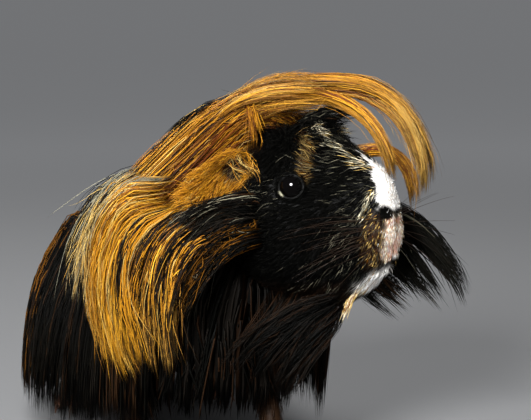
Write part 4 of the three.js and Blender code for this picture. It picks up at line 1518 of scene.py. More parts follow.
# from the nape over the shoulders and down to the forefeet
SHOULDER_RIGHT = [
    [(-30, 2, 101), (-32, -12, 98), (-33, -25, 89), (-34, -34, 72), (-33, -41, 50), (-31, -44, 30),
     (-30, -45, 8)],
    [(-18, 4, 108), (-19, -10, 104), (-19, -22, 94), (-19, -32, 76), (-18, -39, 54), (-17, -42, 32),
     (-16, -42, 8)],
    [(-8, 8, 114), (-8, -6, 110), (-8, -18, 99), (-7, -28, 82), (-5, -34, 60), (-4, -38, 36), (-4, -38, 8)],
    [(1, 6, 106), (1, -6, 102), (2, -18, 93), (4, -26, 79), (6, -29, 60), (8, -31, 38), (8, -31, 10)],
    [(9, 8, 99), (10, -3, 95), (12, -12, 87), (14, -18, 73), (16, -20, 56), (17, -21, 38), (17, -21, 12)],
]
SHOULDER_LEFT = [
    [(-30, 4, 101), (-33, 18, 98), (-35, 32, 88), (-36, 41, 70), (-35, 47, 48), (-33, 49, 28), (-32, 50, 10)],
    [(-18, 12, 109), (-19, 26, 105), (-19, 38, 94), (-19, 46, 74), (-18, 50, 50), (-17, 51, 30),
     (-17, 52, 10)],
    [(-8, 22, 118), (-6, 36, 112), (-4, 46, 98), (-3, 51, 78), (-2, 53, 54), (-2, 52, 32), (-2, 52, 10)],
    [(0, 34, 120), (6, 46, 108), (9, 52, 92), (10, 53, 72), (11, 52, 50), (11, 50, 30), (11, 49, 13)],
]
# the middle lines of the crest and its locks, in the head's frame
CREST = [
    (-66, 5, -9), (-57, 4, 3), (-44.5, 2, 14.5), (-32, -1, 23.2), (-20, -3, 29.8), (-7, -3, 33), (9, -1, 33),
]
FORELOCK_OUTER = [
    (-32, -1, 24), (-20, -2, 30.5), (-6, 1, 35), (8, 3, 36), (20, 5.5, 34), (30, 7.5, 27), (37, 8, 16),
    (40.5, 7.5, 5), (41, 6.5, -6),
]
FORELOCK_INNER = [
    (-26, -6, 26), (-12, -6, 31), (0, -5, 32.5), (12, -4, 30), (22, -4, 24), (29.5, -4.5, 14), (33.6, -5, 1),
]
TEMPLE_LOCK = [(-4, 17, 9), (8, 20, 9.5), (18, 21, 10.5), (26, 21.5, 5.5), (29.5, 22, -4), (30, 22.5, -14)]
BROW_TUFT = [(-8, 0, 18), (0, 1, 23), (8, 2, 25.8), (15.5, 2.5, 26)]
CHEEK_LOCK = [(4, 12, -9), (16, 21, -17), (26, 27, -25), (33, 30, -33.5), (39.5, 32.5, -43), (44, 34, -53)]
JOWL_LOCK = [(-2, 12, -24), (11, 20, -34), (21, 25, -43), (29.5, 28.5, -52)]


@dataclass(frozen=True)
class Coat:
    """All the hair of the animal, piece by piece."""

    skin: SkinSurface
    dark_gloss: tuple[float, float] = (0.56, 0.05)
    pale_gloss: tuple[float, float] = (0.5, 0.18)

    def pieces(self) -> list[Hair]:
        """Every piece of the coat, in the order of building."""
        return self.crest_pieces() + self.mane_pieces() + self.body_pieces() + self.face_pieces()

    @staticmethod
    def crest_pieces() -> list[Hair]:
        """The crest over the crown, and the locks that spring from it."""
        bleached = DyeAndShade(
            base=[(GOLD, 4), (AMBER, 2.4), (BRONZE, 3.4), (FLAX, 1.3), (RUSSET, 1.1), (UMBER, 0.9)],
            tip=FLAX, bleach=0.8, spread=0.3,
        )
        warm = DyeAndShade(base=[(GOLD, 5), (AMBER, 2), (BRONZE, 2.6), (RUSSET, 0.8)], tip=FLAX)
        glossy = DyeAndShade(
            base=[(GOLD, 4.6), (AMBER, 1.4), (BRONZE, 4.2), (FLAX, 0.9), (RUSSET, 1.2), (UMBER, 1.2)],
            tip=STRAW * 0.8, bleach=0.25, spread=0.3,
        )
        ashen = DyeAndShade(base=RAVEN.base, tip=ASH, root=0.7)
        return [
            HairLock(
                "crest_hair", Slot.GOLD, CREST, glossy, 2250, 10, 11, ("crest",), width=(0.2, 0.36),
                end=(0.6, 1.05),
                girth=[(0, 17, 7), (0.6, 17, 7), (0.85, 14, 6.4), (1, 9, 4.5)],
                clumps=Clumps(44, 0.45, wander=0.07, cross=0.05, wave=0.8, stray=0.08, fray=3),
            ),
            HairLock(
                "forelock_outer_hair", Slot.GOLD, FORELOCK_OUTER, bleached, 1500, 11, 12, ("forelock_outer",),
                girth=[(0, 12, 4.5), (0.3, 11, 4.2), (0.6, 7.6, 3.6), (0.85, 7, 3.2), (1, 6.5, 3)],
                start=(0, 0.35), end=(0.76, 1),
                clumps=Clumps(12, 0.75, wander=0.07, wave=0.7, stray=0.07, fray=3),
            ),
            HairLock(
                "forelock_inner_hair", Slot.GOLD, FORELOCK_INNER, warm, 640, 10, 13, ("forelock_inner",),
                girth=[(0, 9, 3.5), (0.4, 5.5, 3), (0.7, 3.8, 2.2), (1, 2.6, 1.6)],
                start=(0, 0.4), end=(0.82, 1), clumps=Clumps(4, 0.8, uneven=0.03, fray=2),
            ),
            HairLock(
                "temple_hair", Slot.GOLD, TEMPLE_LOCK, warm, 300, 9, 14, ("temple_lock",),
                girth=[(0, 3.2, 2.8), (0.7, 3, 2.4), (1, 2.2, 1.6)], rooted=0.25,
                start=(0, 0.2), end=(0.85, 1), clumps=Clumps(4, 0.7, wander=0.02, stray=0.02, fray=2),
            ),
            HairLock(
                "brow_tuft_hair", Slot.DARK, BROW_TUFT, RAVEN, 700, 6, 15, ("brow_tuft",), width=(0.24, 0.42),
                girth=[(0, 10, 5), (0.6, 7, 4), (1, 4, 2.4)], rooted=0.3, start=(0, 0.4), end=(0.4, 1.1),
                clumps=Clumps(14, 0.75, wander=0.1, uneven=0.25, cross=0.1, stray=0.2, fray=3),
            ),
            HairLock(
                "cheek_lock_hair", Slot.DARK, CHEEK_LOCK, ashen, 820, 9, 16, ("cheek_lock",),
                width=(0.28, 0.5),
                girth=[(0, 6, 9), (0.3, 7, 11), (0.7, 7, 11.5), (1, 5, 9)], start=(0, 0.3), end=(0.6, 1),
                clumps=Clumps(14, 0.7, wander=0.05, uneven=0.1, stray=0.08),
            ),
            HairLock(
                "jowl_lock_hair", Slot.DARK, JOWL_LOCK, ashen, 700, 8, 17, ("jowl_lock",), width=(0.28, 0.5),
                girth=[(0, 6, 10), (0.5, 7, 12), (1, 5.5, 10)], start=(0, 0.3), end=(0.62, 1),
                clumps=Clumps(14, 0.7, wander=0.05, uneven=0.1, stray=0.08, fray=3),
            ),
        ]

    @staticmethod
    def mane_pieces() -> list[Hair]:
        """The long falls beside the neck, over the nape and from the cheek and throat."""
        # the crown's mix leans to russet and umber, partly as painted shadow that the crest casts on the
        # crown
        crown = DyeAndShade(
            base=[(GOLD, 4.6), (AMBER, 1.2), (BRONZE, 3.4), (FLAX, 0.6), (RUSSET, 1.4), (UMBER, 1.3)],
            tip=FLAX,
            bleach=0.4, spread=0.28,
            bands=[
                (0, 0.05, SOOT, 0.6), (0.1, 0.06, SOOT, 0.85),
                (0.45, 0.16, UMBER, 0.4), (0.7, 0.2, RUSSET, 0.5),
            ],
        )
        edge = DyeAndShade(
            base=[(BLACK, 6), (SOOT, 3), (UMBER, 1.5), (BRONZE, 0.8), (FLAX, 0.4)], tip=ASH, bleach=0.4,
            bands=[(0.9, 0.2, BRONZE, 0.6)],
        )
        fan = DyeAndShade(
            base=[(GOLD, 5), (AMBER, 1.8), (BRONZE, 2.6), (FLAX, 1.8), (TAN, 0.6), (UMBER, 0.6)],
            # golden tips, brightened partly as painted light on the lower fan, which the lamps reach less
            tip=AMBER * 1.2,
            bleach=0.6, root=0.8, spread=0.28,
            bands=[
                (0, 0.12, STRAW, 0.75), (0.1, 0.07, ASH, 0.5),
                (0.72, 0.05, SOOT, 0.7), (0.95, 0.06, SOOT, 0.7),
            ],
        )
        pale = DyeAndShade(
            base=[(STRAW * 0.9, 5), (ASH * 0.9, 1.5), (FLAX, 3.5), (GOLD, 2), (SOOT, 1)], tip=STRAW,
            bleach=0.4, root=0.6,
        )
        front = DyeAndShade(
            base=[(GOLD, 5), (BRONZE, 3.4), (UMBER, 1.2), (SOOT, 0.8), (AMBER, 1.6), (FLAX, 1)], tip=FLAX,
            bleach=0.5,
            root=0.15, bands=[(0.1, 0.08, SOOT, 0.6), (0.5, 0.12, SOOT, 0.6), (1, 0.14, SOOT, 0.5)],
            spread=0.25,
        )
        nape = DyeAndShade(GOLDEN.base, tip=FLAX, bleach=0.3, bands=[(0, 0.3, SOOT, 0.8), (1, 0.25, SOOT, 0.6)])
        sweep = DyeAndShade(
            base=[(BLACK, 8), (SOOT, 3), (UMBER, 1), (ASH * 0.4, 0.3)], tip=FLAX * 0.6, bleach=0.2, root=0.15,
            bands=[(0.12, 0.12, ASH * 0.6, 0.25), (0.8, 0.14, BRONZE * 0.45, 0.35)],
        )
        brown = DyeAndShade(base=[(BLACK, 6), (SOOT, 5), (UMBER * 0.5, 3)], tip=UMBER * 0.6, bleach=0.15)
        left = DyeAndShade(
            RAVEN.base, tip=ASH, bleach=0.2, root=0.7,
            bands=[(0.3, 0.14, GOLD, 0.85), (0.85, 0.08, BRONZE, 0.6)],
        )
        tuft = DyeAndShade(
            base=[(GOLD, 4), (BRONZE, 3), (AMBER, 1.4), (RUSSET, 1.4)], tip=GOLD, bleach=0.2,
            bands=[(0.95, 0.15, RUSSET, 0.5)],
        )
        wisp = DyeAndShade(base=[(STRAW, 1.6), (FLAX, 2), (GOLD, 3), (BRONZE, 2), (BLACK, 3)], tip=STRAW, bleach=0.3)
        stripe = DyeAndShade(base=[(CREAM, 3), (STRAW, 3), (BRONZE, 1.5)], tip=CREAM, bleach=0.2, root=0.8)
        bib = HairSheet(
            "bib_hair", Slot.DARK, bib_guides(9), brown, 1200, 7, 28, ("bib",), width=(0.45, 0.85),
            start=(0, 0.55), end=(0.78, 1), core=(-20, 7, 50), clumps=Clumps(26, wander=0.04),
        )
        return [
            HairSheet(
                "mane_crown_hair", Slot.GOLD, MANE_CROWN, crown, 2450, 11, 21, ("mane_right",),
                start=(0, 0.45), end=(0.4, 1), core=(-10, 30, 60),
                clumps=Clumps(34, 0.4, wander=0.05, cross=0.035, wave=0.7),
            ),
            HairSheet(
                "crest_edge_hair", Slot.DARK, CREST_EDGE, edge, 360, 9, 50, start=(0.05, 0.45), end=(0.55, 1),
                layer=2.4, core=(10, 20, 100), rooted=0.05,
                clumps=Clumps(16, 0.3, wander=0.15, cross=0.15, stray=0.05, fray=2),
            ),
            HairSheet(
                "mane_fan_hair", Slot.GOLD, MANE_FAN, fan, 2450, 11, 22, start=(0.08, 0.6), end=(0.78, 1),
                layer=7,
                clumps=Clumps(26, 0.55, wander=0.09, uneven=0.1, cross=0.06, wave=1.1, stray=0.07, fray=6),
            ),
            HairSheet(
                "mane_pale_hair", Slot.GOLD, MANE_PALE, pale, 260, 10, 51, width=(0.18, 0.3), end=(0.55, 1),
                layer=3, rooted=0.1,
                clumps=Clumps(14, 0.5, wander=0.2, cross=0.15, wave=1.1, stray=0.12, fray=5),
            ),
            HairSheet(
                "mane_front_hair", Slot.GOLD, MANE_FRONT, front, 1950, 10, 23, start=(0.16, 0.55),
                end=(0.6, 1), rooted=0.2,
                clumps=Clumps(24, wander=0.11, uneven=0.1, cross=0.08, wave=1.2, stray=0.06, fray=5),
            ),
            HairSheet(
                "nape_hair", Slot.GOLD, NAPE, nape, 640, 8, 24, width=(0.3, 0.55), end=(0.7, 1), layer=4,
                clumps=Clumps(20, 0.5),
            ),
            HairSheet(
                "cheek_sweep_hair", Slot.DARK, CHEEK_SWEEP, sweep, 1420, 8, 25, width=(0.2, 0.38),
                start=(0.1, 0.6), end=(0.4, 0.92), layer=4, rooted=0.35,
                clumps=Clumps(40, 0.4, wander=0.05, uneven=0.12, cross=0.08, wave=0.8, stray=0.06),
            ),
            HairSheet(
                "throat_hair", Slot.DARK, THROAT_FALL, brown, 850, 7, 26, width=(0.24, 0.42), start=(0, 0.6),
                layer=5, rooted=0.4, clumps=Clumps(22, wander=0.06, stray=0.06, fray=3),
            ),
            HairSheet(
                "chin_stripe_hair", Slot.WHITE, CHIN_STRIPE, stripe, 130, 7, 30, width=(0.2, 0.36),
                end=(0.4, 1),
                layer=1.6, core=(23, 43, 60),
                clumps=Clumps(6, 0.5, wander=0.1, uneven=0.1, stray=0.1, fray=2),
            ),
            HairSheet(
                "mane_left_hair", Slot.DARK, arched(*MANE_LEFT, -0.16, 5), left, 800, 8, 27, ("mane_left",),
                width=(0.4, 0.7), start=(0, 0.4), end=(0.6, 1), layer=8, clumps=Clumps(22, 0.45, wander=0.02),
            ),
            bib,
            bib.under(120, 0.5, 52, end=(0.84, 0.94)),
            HairSheet(
                "ear_tuft_hair", Slot.GOLD, EAR_TUFT, tuft, 320, 8, 29, width=(0.18, 0.3), start=(0, 0.3),
                layer=4, core=(0, 40, 110), rooted=0.05,
                clumps=Clumps(9, 0.4, wander=0.1, uneven=0.2, cross=0.1, wave=0.7, stray=0.08, fray=3),
            ),
            HairSheet(
                "ear_wisp_hair", Slot.GOLD, EAR_WISPS, wisp, 36, 9, 49, width=(0.12, 0.18), start=(0, 0.4),
                end=(0.65, 1), layer=2, core=(23, 43, 110),
                clumps=Clumps(pull=0.1, wander=0.35, cross=0.25, wave=1, stray=0.1, fray=3),
            ),
        ]

    @staticmethod
    def body_pieces() -> list[Hair]:
        """The long coat that parts along the back and hangs nearly to the floor."""
        pied = DyeAndShade(base=[(BLACK, 9), (SOOT, 2), (UMBER, 1)], tip=TAN, bleach=0.3, root=0.8)
        right = replace(pied, tip=TAN * 0.6, bands=[(0.72, 0.12, BRONZE * 0.6, 0.4)])
        rump = replace(pied, bands=[(0.5, 0.16, BRONZE, 0.7), (0.62, 0.1, GOLD * 0.8, 0.5)])
        left = replace(pied, bands=[
            (0.34, 0.1, GOLD * 0.9, 0.8), (0.46, 0.06, GOLD * 0.9, 0.7), (0.4, 0.2, BRONZE, 0.35),
        ])
        shoulder = replace(pied, tip=TAN * 0.6, bleach=0.25, bands=[(0.8, 0.14, UMBER, 0.5)])
        wisp = DyeAndShade(base=[(SOOT, 4), (BLACK, 3), (ASH * 0.8, 3), (STRAW * 0.8, 3)], tip=ASH, bleach=0.3)
        loose = Clumps(46, 0.42, wander=0.015, uneven=0.05, cross=0.015, stray=0.02, fray=3)
        made = []
        for name, span, count, dye_and_shade, seed in (
            ("skirt_right", (0, 0.39, 9), 1600, right, 31),
            ("skirt_rump", (0.36, 0.64, 7), 1150, rump, 32),
            ("skirt_left", (0.61, 1, 9), 1300, left, 33),
        ):
            skirt = HairSheet(
                f"{name}_hair", Slot.DARK, drape_guides(*span), dye_and_shade, count, 7, seed, (name,),
                width=(0.42, 0.8),
                start=(0, 0.55), end=(0.8, 1), layer=3.5, core=(-75, 4, 45), clumps=loose, rooted=0.12,
            )
            made += [skirt, skirt.under(count // 5, 0.35, seed + 4, end=(0.86, 0.96), rooted=0.1)]
        for side, guides, seed in (("right", SHOULDER_RIGHT, 38), ("left", SHOULDER_LEFT, 39)):
            fall = HairSheet(
                f"shoulder_{side}_hair", Slot.DARK, guides, shoulder, 700, 7, seed, width=(0.4, 0.75),
                start=(0, 0.45), end=(0.75, 1), layer=4, core=(-20, 8, 60), clumps=loose, rooted=0.15,
            )
            made += [fall, fall.under(150, 0.35, seed + 12, end=(0.84, 0.95), width=(2.2, 3.2))]
        return made + [HairSheet(
            "wisp_hair", Slot.DARK, WISPS, wisp, 190, 10, 47, width=(0.18, 0.32), start=(0, 0.3), layer=4,
            core=(-20, 5, 60), rooted=0.2,
            clumps=Clumps(pull=0.3, wander=0.25, cross=0.5, wave=1.4, stray=0.3),
        )]

    @staticmethod
    def face_pieces() -> list[Hair]:
        """The short fur of the face, the ears, the legs and the back."""
        return [
            ShortFur(
                "face_fur", Slot.DARK, 14600, face_density, face_lie, face_size, 41, rings=3, fleck=0.14,
            ),
            ShortFur(
                "cheek_fur", Slot.DARK, 1800, cheek_density, face_lie, cheek_size, 42, fleck=0.02, hug=True,
            ),
            ShortFur(
                "ear_fur", Slot.GOLD, 3400, ear_density, ear_lie, ear_size, 43, fleck=0.7, mingle=0.8,
                pale=FLAX,
            ),
            ShortFur("leg_fur", Slot.FOOT, 1500, leg_density, leg_lie, leg_size, 44, rings=3),
            ShortFur("brow_fur", Slot.DARK, 1700, crown_density, crown_lie, (9, 0.55, 0.3), 45, fleck=0.03),
            ShortFur("temple_fur", Slot.DARK, 950, temple_density, temple_lie, temple_size, 48, fleck=0.12),
            ShortFur(
                "back_fur", Slot.DARK, 1700, back_density, back_lie, (15, 0.42, 0.5), 46, fleck=0, hug=True,
            ),
        ]

    def build(self) -> None:
        """Makes, dresses and declares every piece of the coat."""
        for hair in self.pieces():
            piece = hair.hairs(self.skin).shell().object(hair.name)
            gloss = self.dark_gloss if hair.slot is Slot.DARK else self.pale_gloss
            piece.data.materials.append(FurFinish("fur_" + hair.slot.value, *gloss).material())
            declare(piece, hair.slot, *hair.replaces)


def fleck_share(q: Array) -> Array:
    """How common pale hairs are among the black ones, at places in the head's frame."""
    u, w = q[..., 0], q[..., 2]
    bridge = smooth(u, -6, 6) * smooth(w, -2, 8)
    chin = smooth(w, -24, -32) * smooth(u, 4, 16)
    under_ear = blob(right_side(q), (-12, -24, -5), (9, 6, 6), 0.4)
    common = 0.04 + 0.7 * bridge + smooth(u, 10, 20) + 0.6 * chin + 0.8 * under_ear + 2 * ear_hole(q)
    return np.clip(common, 0, 1)


def crown_density(p: Array, normals: Array) -> Array:
    """Where the longer black hair of the forehead grows, under the crest."""
    q = to_head(p)
    return smooth(q[:, 0], -17, -11) * smooth(q[:, 0], 5, -2) * smooth(q[:, 2], 11, 16) * (1 - ear_share(q))


def crown_lie(p: Array) -> Array:
    """The direction of the forehead's hair: up and outwards, and forwards near its front."""
    q = to_head(p)
    forward = smooth(q[..., 0], -14, 0)
    return way_from_head(columns(-0.7 + 1.5 * forward, 0.06 * q[..., 1], 0.7 - 0.3 * forward))


def temple_density(p: Array, normals: Array) -> Array:
    """Where longer black hair grows between the eyes and the ears."""
    q = to_head(p)
    u, v, w = q.T
    shown = smooth(u, -20, -16) * smooth(u, 0, -5) * smooth(w, -10, -4) * smooth(w, 24, 18)
    shown = shown * smooth(eye_reach(q), 6.2, 7.2)
    return shown * (1 - ear_share(q)) * (0.3 + 0.7 * smooth(v, 6, -2)) * (1 - 0.8 * brow_share(q))


def temple_lie(p: Array) -> Array:
    """The direction of the hair between the eyes and the ears: down and back."""
    q = to_head(p)
    side = np.sign(q[..., 1])
    low = smooth(q[..., 2], 12, -4)
    return way_from_head(columns(-0.35 - 0.5 * low, side * 0.35, -0.85 + 0.35 * low))


def temple_size(p: Array) -> Array:
    """Length, lift and width of the hair between the eyes and the ears."""
    w = to_head(p)[..., 2]
    return columns(5.5 + 3 * smooth(w, 4, 14), 0.36, 0.24)


def face_density(p: Array, normals: Array) -> Array:
    """Where the face's shortest fur grows."""
    q = to_head(p)
    u, v, w = q.T
    shown = smooth(u + 8 * smooth(w, 2, -8), -16, -9) * (1 - ear_share(q)) * smooth(w, -50, -44)
    lids = eye_reach(q)
    lips = blob(q, (32.6, -1.0, -22.8), (3.0, 3.6, 3.6), 0.2)
    nostrils = blob(right_side(q), (32.0, -6.4, -9.4), (3.4, 2.2, 1.7), 0.2)
    near = 0.45 + 0.55 * smooth(v, 6, -2)
    front = (1 + 1.2 * smooth(u, 4, 22)) * (1 + 1.2 * smooth(lids, 11, 8))
    return shown * near * front * smooth(lids, 5.3, 5.7) * (1 - 0.7 * lips) * (1 - nostrils)


def face_lie(p: Array) -> Array:
    """The direction of the face's fur: back from the nose, down the cheeks, down and back on the chin."""
    q = to_head(p)
    u, v, w = q.T
    side = np.sign(v)
    low = smooth(w, -6, -26)
    down = 0.12 + 0.95 * low * smooth(u, -10, 12) + 0.25 * smooth(np.abs(v), 8, 20)
    brow = smooth(w, 2, 14) * smooth(u, 12, 4)
    lip = blob(right_side(q), (29, -8, -19), (7, 7, 11), 0.3)
    pad = blob(right_side(q), (24.8, -10, -5), (4, 4.5, 6.5), 0.3)
    way = columns(-1 + 0.75 * brow, side * (0.35 - 0.1 * low), -down + 1.5 * brow)
    way = mixed(way, columns(-0.35, side * 0.3, -1), lip)
    return way_from_head(mixed(way, columns(-0.6, side * 0.4, -0.85), pad))


def face_size(p: Array) -> Array:
    """Length, lift and width of the face's fur."""
    q = to_head(p)
    u, w = q[..., 0], q[..., 2]
    length = 2.2 + 4.2 * smooth(u, 32, 8) + 2.4 * smooth(w, -24, -36) + 1.2 * smooth(w, 2, 14)
    length = length * (0.55 + 0.45 * smooth(eye_reach(q), 6, 11)) * (1 + 0.5 * bridge_share(q))
    return columns(length, 0.26 + 0.16 * smooth(u, 20, 32), 0.20 + 0.015 * length)


def cheek_density(p: Array, normals: Array) -> Array:
    """Where longer hair lies back over the cheeks, jaw and throat."""
    q = to_head(p)
    u, v, w = q.T
    back = smooth(u, 10, -2) * smooth(u, -34, -26) * smooth(w, -52, -46) * smooth(np.abs(v), 42, 36)
    return back * smooth(w, -2, -12) * (1 - ear_share(q)) * (0.4 + 0.6 * smooth(v, 6, -2))


def cheek_size(p: Array) -> Array:
    """Length, lift and width of the cheek's hair."""
    return columns(7 + 6 * smooth(to_head(p)[..., 0], 8, -20), 0.18, 0.26)


def ear_density(p: Array, normals: Array) -> Array:
    """Where the ears' fuzz grows: all over them, thinner in the hollow and on the far ear."""
    q = to_head(p)
    t, x, high = on_ear(q)
    ring = smooth(t, -0.14, -0.04) * smooth(t, 0.3, 0.2)
    ring = ring * smooth(np.abs(x), 1.7, 1.4) * smooth(np.abs(high + EAR["sunk"]), 9, 7)
    near = 0.3 + 0.7 * smooth(q[:, 1], 5, -5)
    return np.maximum(ear_share(q), 1.3 * ring) * (1 - 0.5 * ear_hole(q)) * near


def ear_lie(p: Array) -> Array:
    """The direction of the ears' fuzz: out towards the tip, spreading to the rims."""
    q = to_head(p)
    _, out, across, facing = ear_axes(-1)
    x = on_ear(q)[1]
    way = out + across * (0.55 * np.clip(x, -1.2, 1.2))[..., None] + facing * 0.25
    return way_from_head(way * columns(1.0, -np.sign(q[..., 1]), 1.0))


def ear_size(p: Array) -> Array:
    """Length, lift and width of the ears' fuzz."""
    t = on_ear(to_head(p))[0]
    return columns(5 + 3.5 * smooth(t, 0.2, 0.8), 0.34, 0.22)


# how far aside the parting runs, at places along the body
PARTING_AHEAD, PARTING_ASIDE = [-130, -60, -20], [10, 2, 8]


def back_density(p: Array, normals: Array) -> Array:
    """Where short hair covers the parting along the back."""
    aside = p[:, 1] - np.interp(p[:, 0], PARTING_AHEAD, PARTING_ASIDE)
    return smooth(normals[:, 2], 0.35, 0.8) * smooth(np.abs(aside), 26, 16) * smooth(p[:, 0], 2, -8)


def back_lie(p: Array) -> Array:
    """The direction of the back's hair: to the rear, and away from the parting."""
    aside = p[..., 1] - np.interp(p[..., 0], PARTING_AHEAD, PARTING_ASIDE)
    return columns(-0.9, np.clip(aside / 6, -1, 1), 0)


def leg_density(p: Array, normals: Array) -> Array:
    """Where the legs' and feet's fur grows."""
    return smooth(p[:, 2], 40, 30) * smooth(p[:, 2], 0.8, 2.0) * smooth(normals[:, 2], -0.7, -0.3)


def leg_lie(p: Array) -> Array:
    """The direction of the legs' fur: down, and forwards on the feet."""
    low = smooth(p[..., 2], 12, 6)
    return columns(0.2 + low, 0, -1 + 0.8 * low)


def leg_size(p: Array) -> Array:
    """Length, lift and width of the legs' fur."""
    high = smooth(p[..., 2], 4, 26)
    return columns(2.0 + 5 * high, 0.25, 0.35 + 0.1 * high)


# ---- finishes -------------------------------------------------------------------------------------
@dataclass(frozen=True)
class Value:
    """A number that a shader works out, with the operators that make more of them."""

    tree: "Shader"
    socket: bpy.types.NodeSocket

    def made(self, operation: str, other: Any) -> "Value":
        """A Math node on this number and another."""
        node = self.tree.node("ShaderNodeMath", {"operation": operation}, {0: self, 1: other})
        return Value(self.tree, node.outputs[0])

    def __add__(self, other: Any) -> "Value":
        """The sum."""
        return self.made("ADD", other)

    def __mul__(self, other: Any) -> "Value":
        """The product."""
        return self.made("MULTIPLY", other)


class Shader:
    """A material's node tree."""

    def __init__(self, name: str) -> None:
        """Starts an empty material."""
        self.material = bpy.data.materials.new(name)
        self.material.use_nodes = True
        self.tree = self.material.node_tree
        self.tree.nodes.clear()

    def node(self, kind: str, settings: Optional[dict] = None,
             inputs: Optional[dict] = None) -> bpy.types.Node:
        """Adds a node.

        Args:
            kind: the node's type.
            settings: properties of the node, which are set first.
            inputs: values, or sockets and numbers to link, by the socket's name or place.
        Returns:
            The node.
        """
        made = self.tree.nodes.new(kind)
        for key, value in (settings or {}).items():
            setattr(made, key, value)
        for key, value in (inputs or {}).items():
            socket = made.inputs[key]
            source = value.socket if isinstance(value, Value) else value
            if isinstance(source, bpy.types.NodeSocket):
                self.tree.links.new(source, socket)
            else:
                socket.default_value = source
        return made

    def place(self) -> bpy.types.NodeSocket:
        """The place on the object."""
        return self.node("ShaderNodeTexCoord").outputs["Object"]

    def noise(self, place: bpy.types.NodeSocket, scale: float, detail: float = 2.0) -> Value:
        """A cloudy number from 0 to 1."""
        inputs = {"Vector": place, "Scale": scale, "Detail": detail}
        return Value(self, self.node("ShaderNodeTexNoise", {}, inputs).outputs["Fac"])

    def own_colour(self, shade: Value) -> bpy.types.NodeSocket:
        """The piece's own colours, made lighter or darker."""
        coat = self.node("ShaderNodeVertexColor", {"layer_name": "coat"}).outputs["Color"]
        return self.node("ShaderNodeVectorMath", {"operation": "SCALE"}, {0: coat, "Scale": shade}).outputs[0]

    def blend(self, share: Any, first: Array, second: Array) -> bpy.types.NodeSocket:
        """A colour between two."""
        ends = {0: share, 6: (*first, 1), 7: (*second, 1)}
        return self.node("ShaderNodeMix", {"data_type": "RGBA"}, ends).outputs[2]

    def finish(self, surface: dict) -> bpy.types.Material:
        """Ends the tree in one surface with the given sockets and returns the material."""
        shader = self.node("ShaderNodeBsdfPrincipled", inputs=surface)
        self.node("ShaderNodeOutputMaterial", inputs={"Surface": shader.outputs[0]})
        return self.material


@dataclass(frozen=True)
class FurFinish:
    """Hair that takes its colour from its piece, with fine streaks along the hairs."""

    name: str
    roughness: float
    specular: float
    streaks: float = 1400.0

    def material(self) -> bpy.types.Material:
        """The finish's material, made once."""
        known = bpy.data.materials.get(self.name)
        if known:
            return known
        shader = Shader(self.name)
        fine = shader.noise(shader.place(), self.streaks)
        rough = fine * 0.16 + (self.roughness - 0.08)
        return shader.finish({
            "Base Color": shader.own_colour(fine * 0.5 + 0.75), "Roughness": rough,
            "Specular IOR Level": self.specular,
        })


@dataclass(frozen=True)
class SkinFinish:
    """The skin and the flat fur on it: the markings, with fine fur in the relief."""

    name: str = "furred_skin"
    fur_scale: float = 1500.0
    pore_scale: float = 700.0
    relief: float = 0.4

    def material(self) -> bpy.types.Material:
        """The finish's material."""
        shader = Shader(self.name)
        place = shader.place()
        laid = shader.node("ShaderNodeMapping", {}, {
            "Vector": place, "Rotation": (0, 0, -HEAD_YAW), "Scale": (0.22, 1.0, 0.8),
        }).outputs[0]
        fur, pores = shader.noise(laid, self.fur_scale, 3.0), shader.noise(place, self.pore_scale)
        relief = {"Strength": 0.5, "Distance": self.relief * MM, "Height": fur * 0.7 + pores * 0.3}
        return shader.finish({
            "Base Color": shader.own_colour(fur * 0.9 + 0.55), "Roughness": fur * 0.2 + 0.45,
            "Normal": shader.node("ShaderNodeBump", {}, relief).outputs[0], "Specular IOR Level": 0.08,
        })


@dataclass(frozen=True)
class EyeFinish:
    """A wet black eye whose brown iris only just shows."""

    name: str = "eye_gloss"
    pupil: Point = (0.0004, 0.0004, 0.0005)
    iris: Point = (0.0014, 0.001, 0.0009)

    def material(self) -> bpy.types.Material:
        """The finish's material."""
        shader = Shader(self.name)
        rays = shader.noise(shader.place(), 900.0, 3.0)
        colour = shader.blend(rays, self.pupil, self.iris)
        return shader.finish({
            "Base Color": colour, "Roughness": 0.05, "Specular IOR Level": 0.22, "Coat Weight": 0.08,
            "Coat Roughness": 0.02,
        })


@dataclass(frozen=True)
class HornFinish:
    """Claws and whiskers: brown horn with a pale grain."""

    name: str
    dark: Array
    pale: Array
    roughness: float = 0.35

    def material(self) -> bpy.types.Material:
        """The finish's material."""
        shader = Shader(self.name)
        colour = shader.blend(shader.noise(shader.place(), 500.0), self.dark, self.pale)
        return shader.finish({"Base Color": colour, "Roughness": self.roughness})


# ---- the pieces that stay separate ----------------------------------------------------------------
def declare(piece: bpy.types.Object, slot: Slot, *replaced: str) -> None:
    """Says what a finished piece rides on and stands for, and logs its faces."""
    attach(piece, BODY)
    if replaced:
        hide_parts(*replaced)
    Log.info("%s: %d faces", piece.name, len(piece.data.polygons))


@dataclass(frozen=True)
class Eyes:
    """The two glossy eyeballs."""

    around: int = 56
    steps: int = 40

    def build(self) -> None:
        """Makes both eyes."""
        finish, r = EyeFinish().material(), EYE["radius"]
        for word, side in (("right", -1), ("left", 1)):
            x, y, z = eye_place(side)
            axis = [(x, y - r, z), (x, y, z), (x, y + r, z)]
            shell = Loft(axis, self.ring, (1, 0, 0), self.around, self.steps).shell()
            points = from_head(shell.points)
            piece = Shell(points, outward(points, shell.faces)).object(f"eyeball_{word}")
            piece.data.materials.append(finish)
            declare(piece, Slot.EYE, f"eye_{word}")

    @staticmethod
    def ring(t: Array) -> tuple:
        """An eyeball's section at shares of its width."""
        return (EYE["radius"] * 2 * np.sqrt(t * (1 - t)),) * 3 + (0, 1)


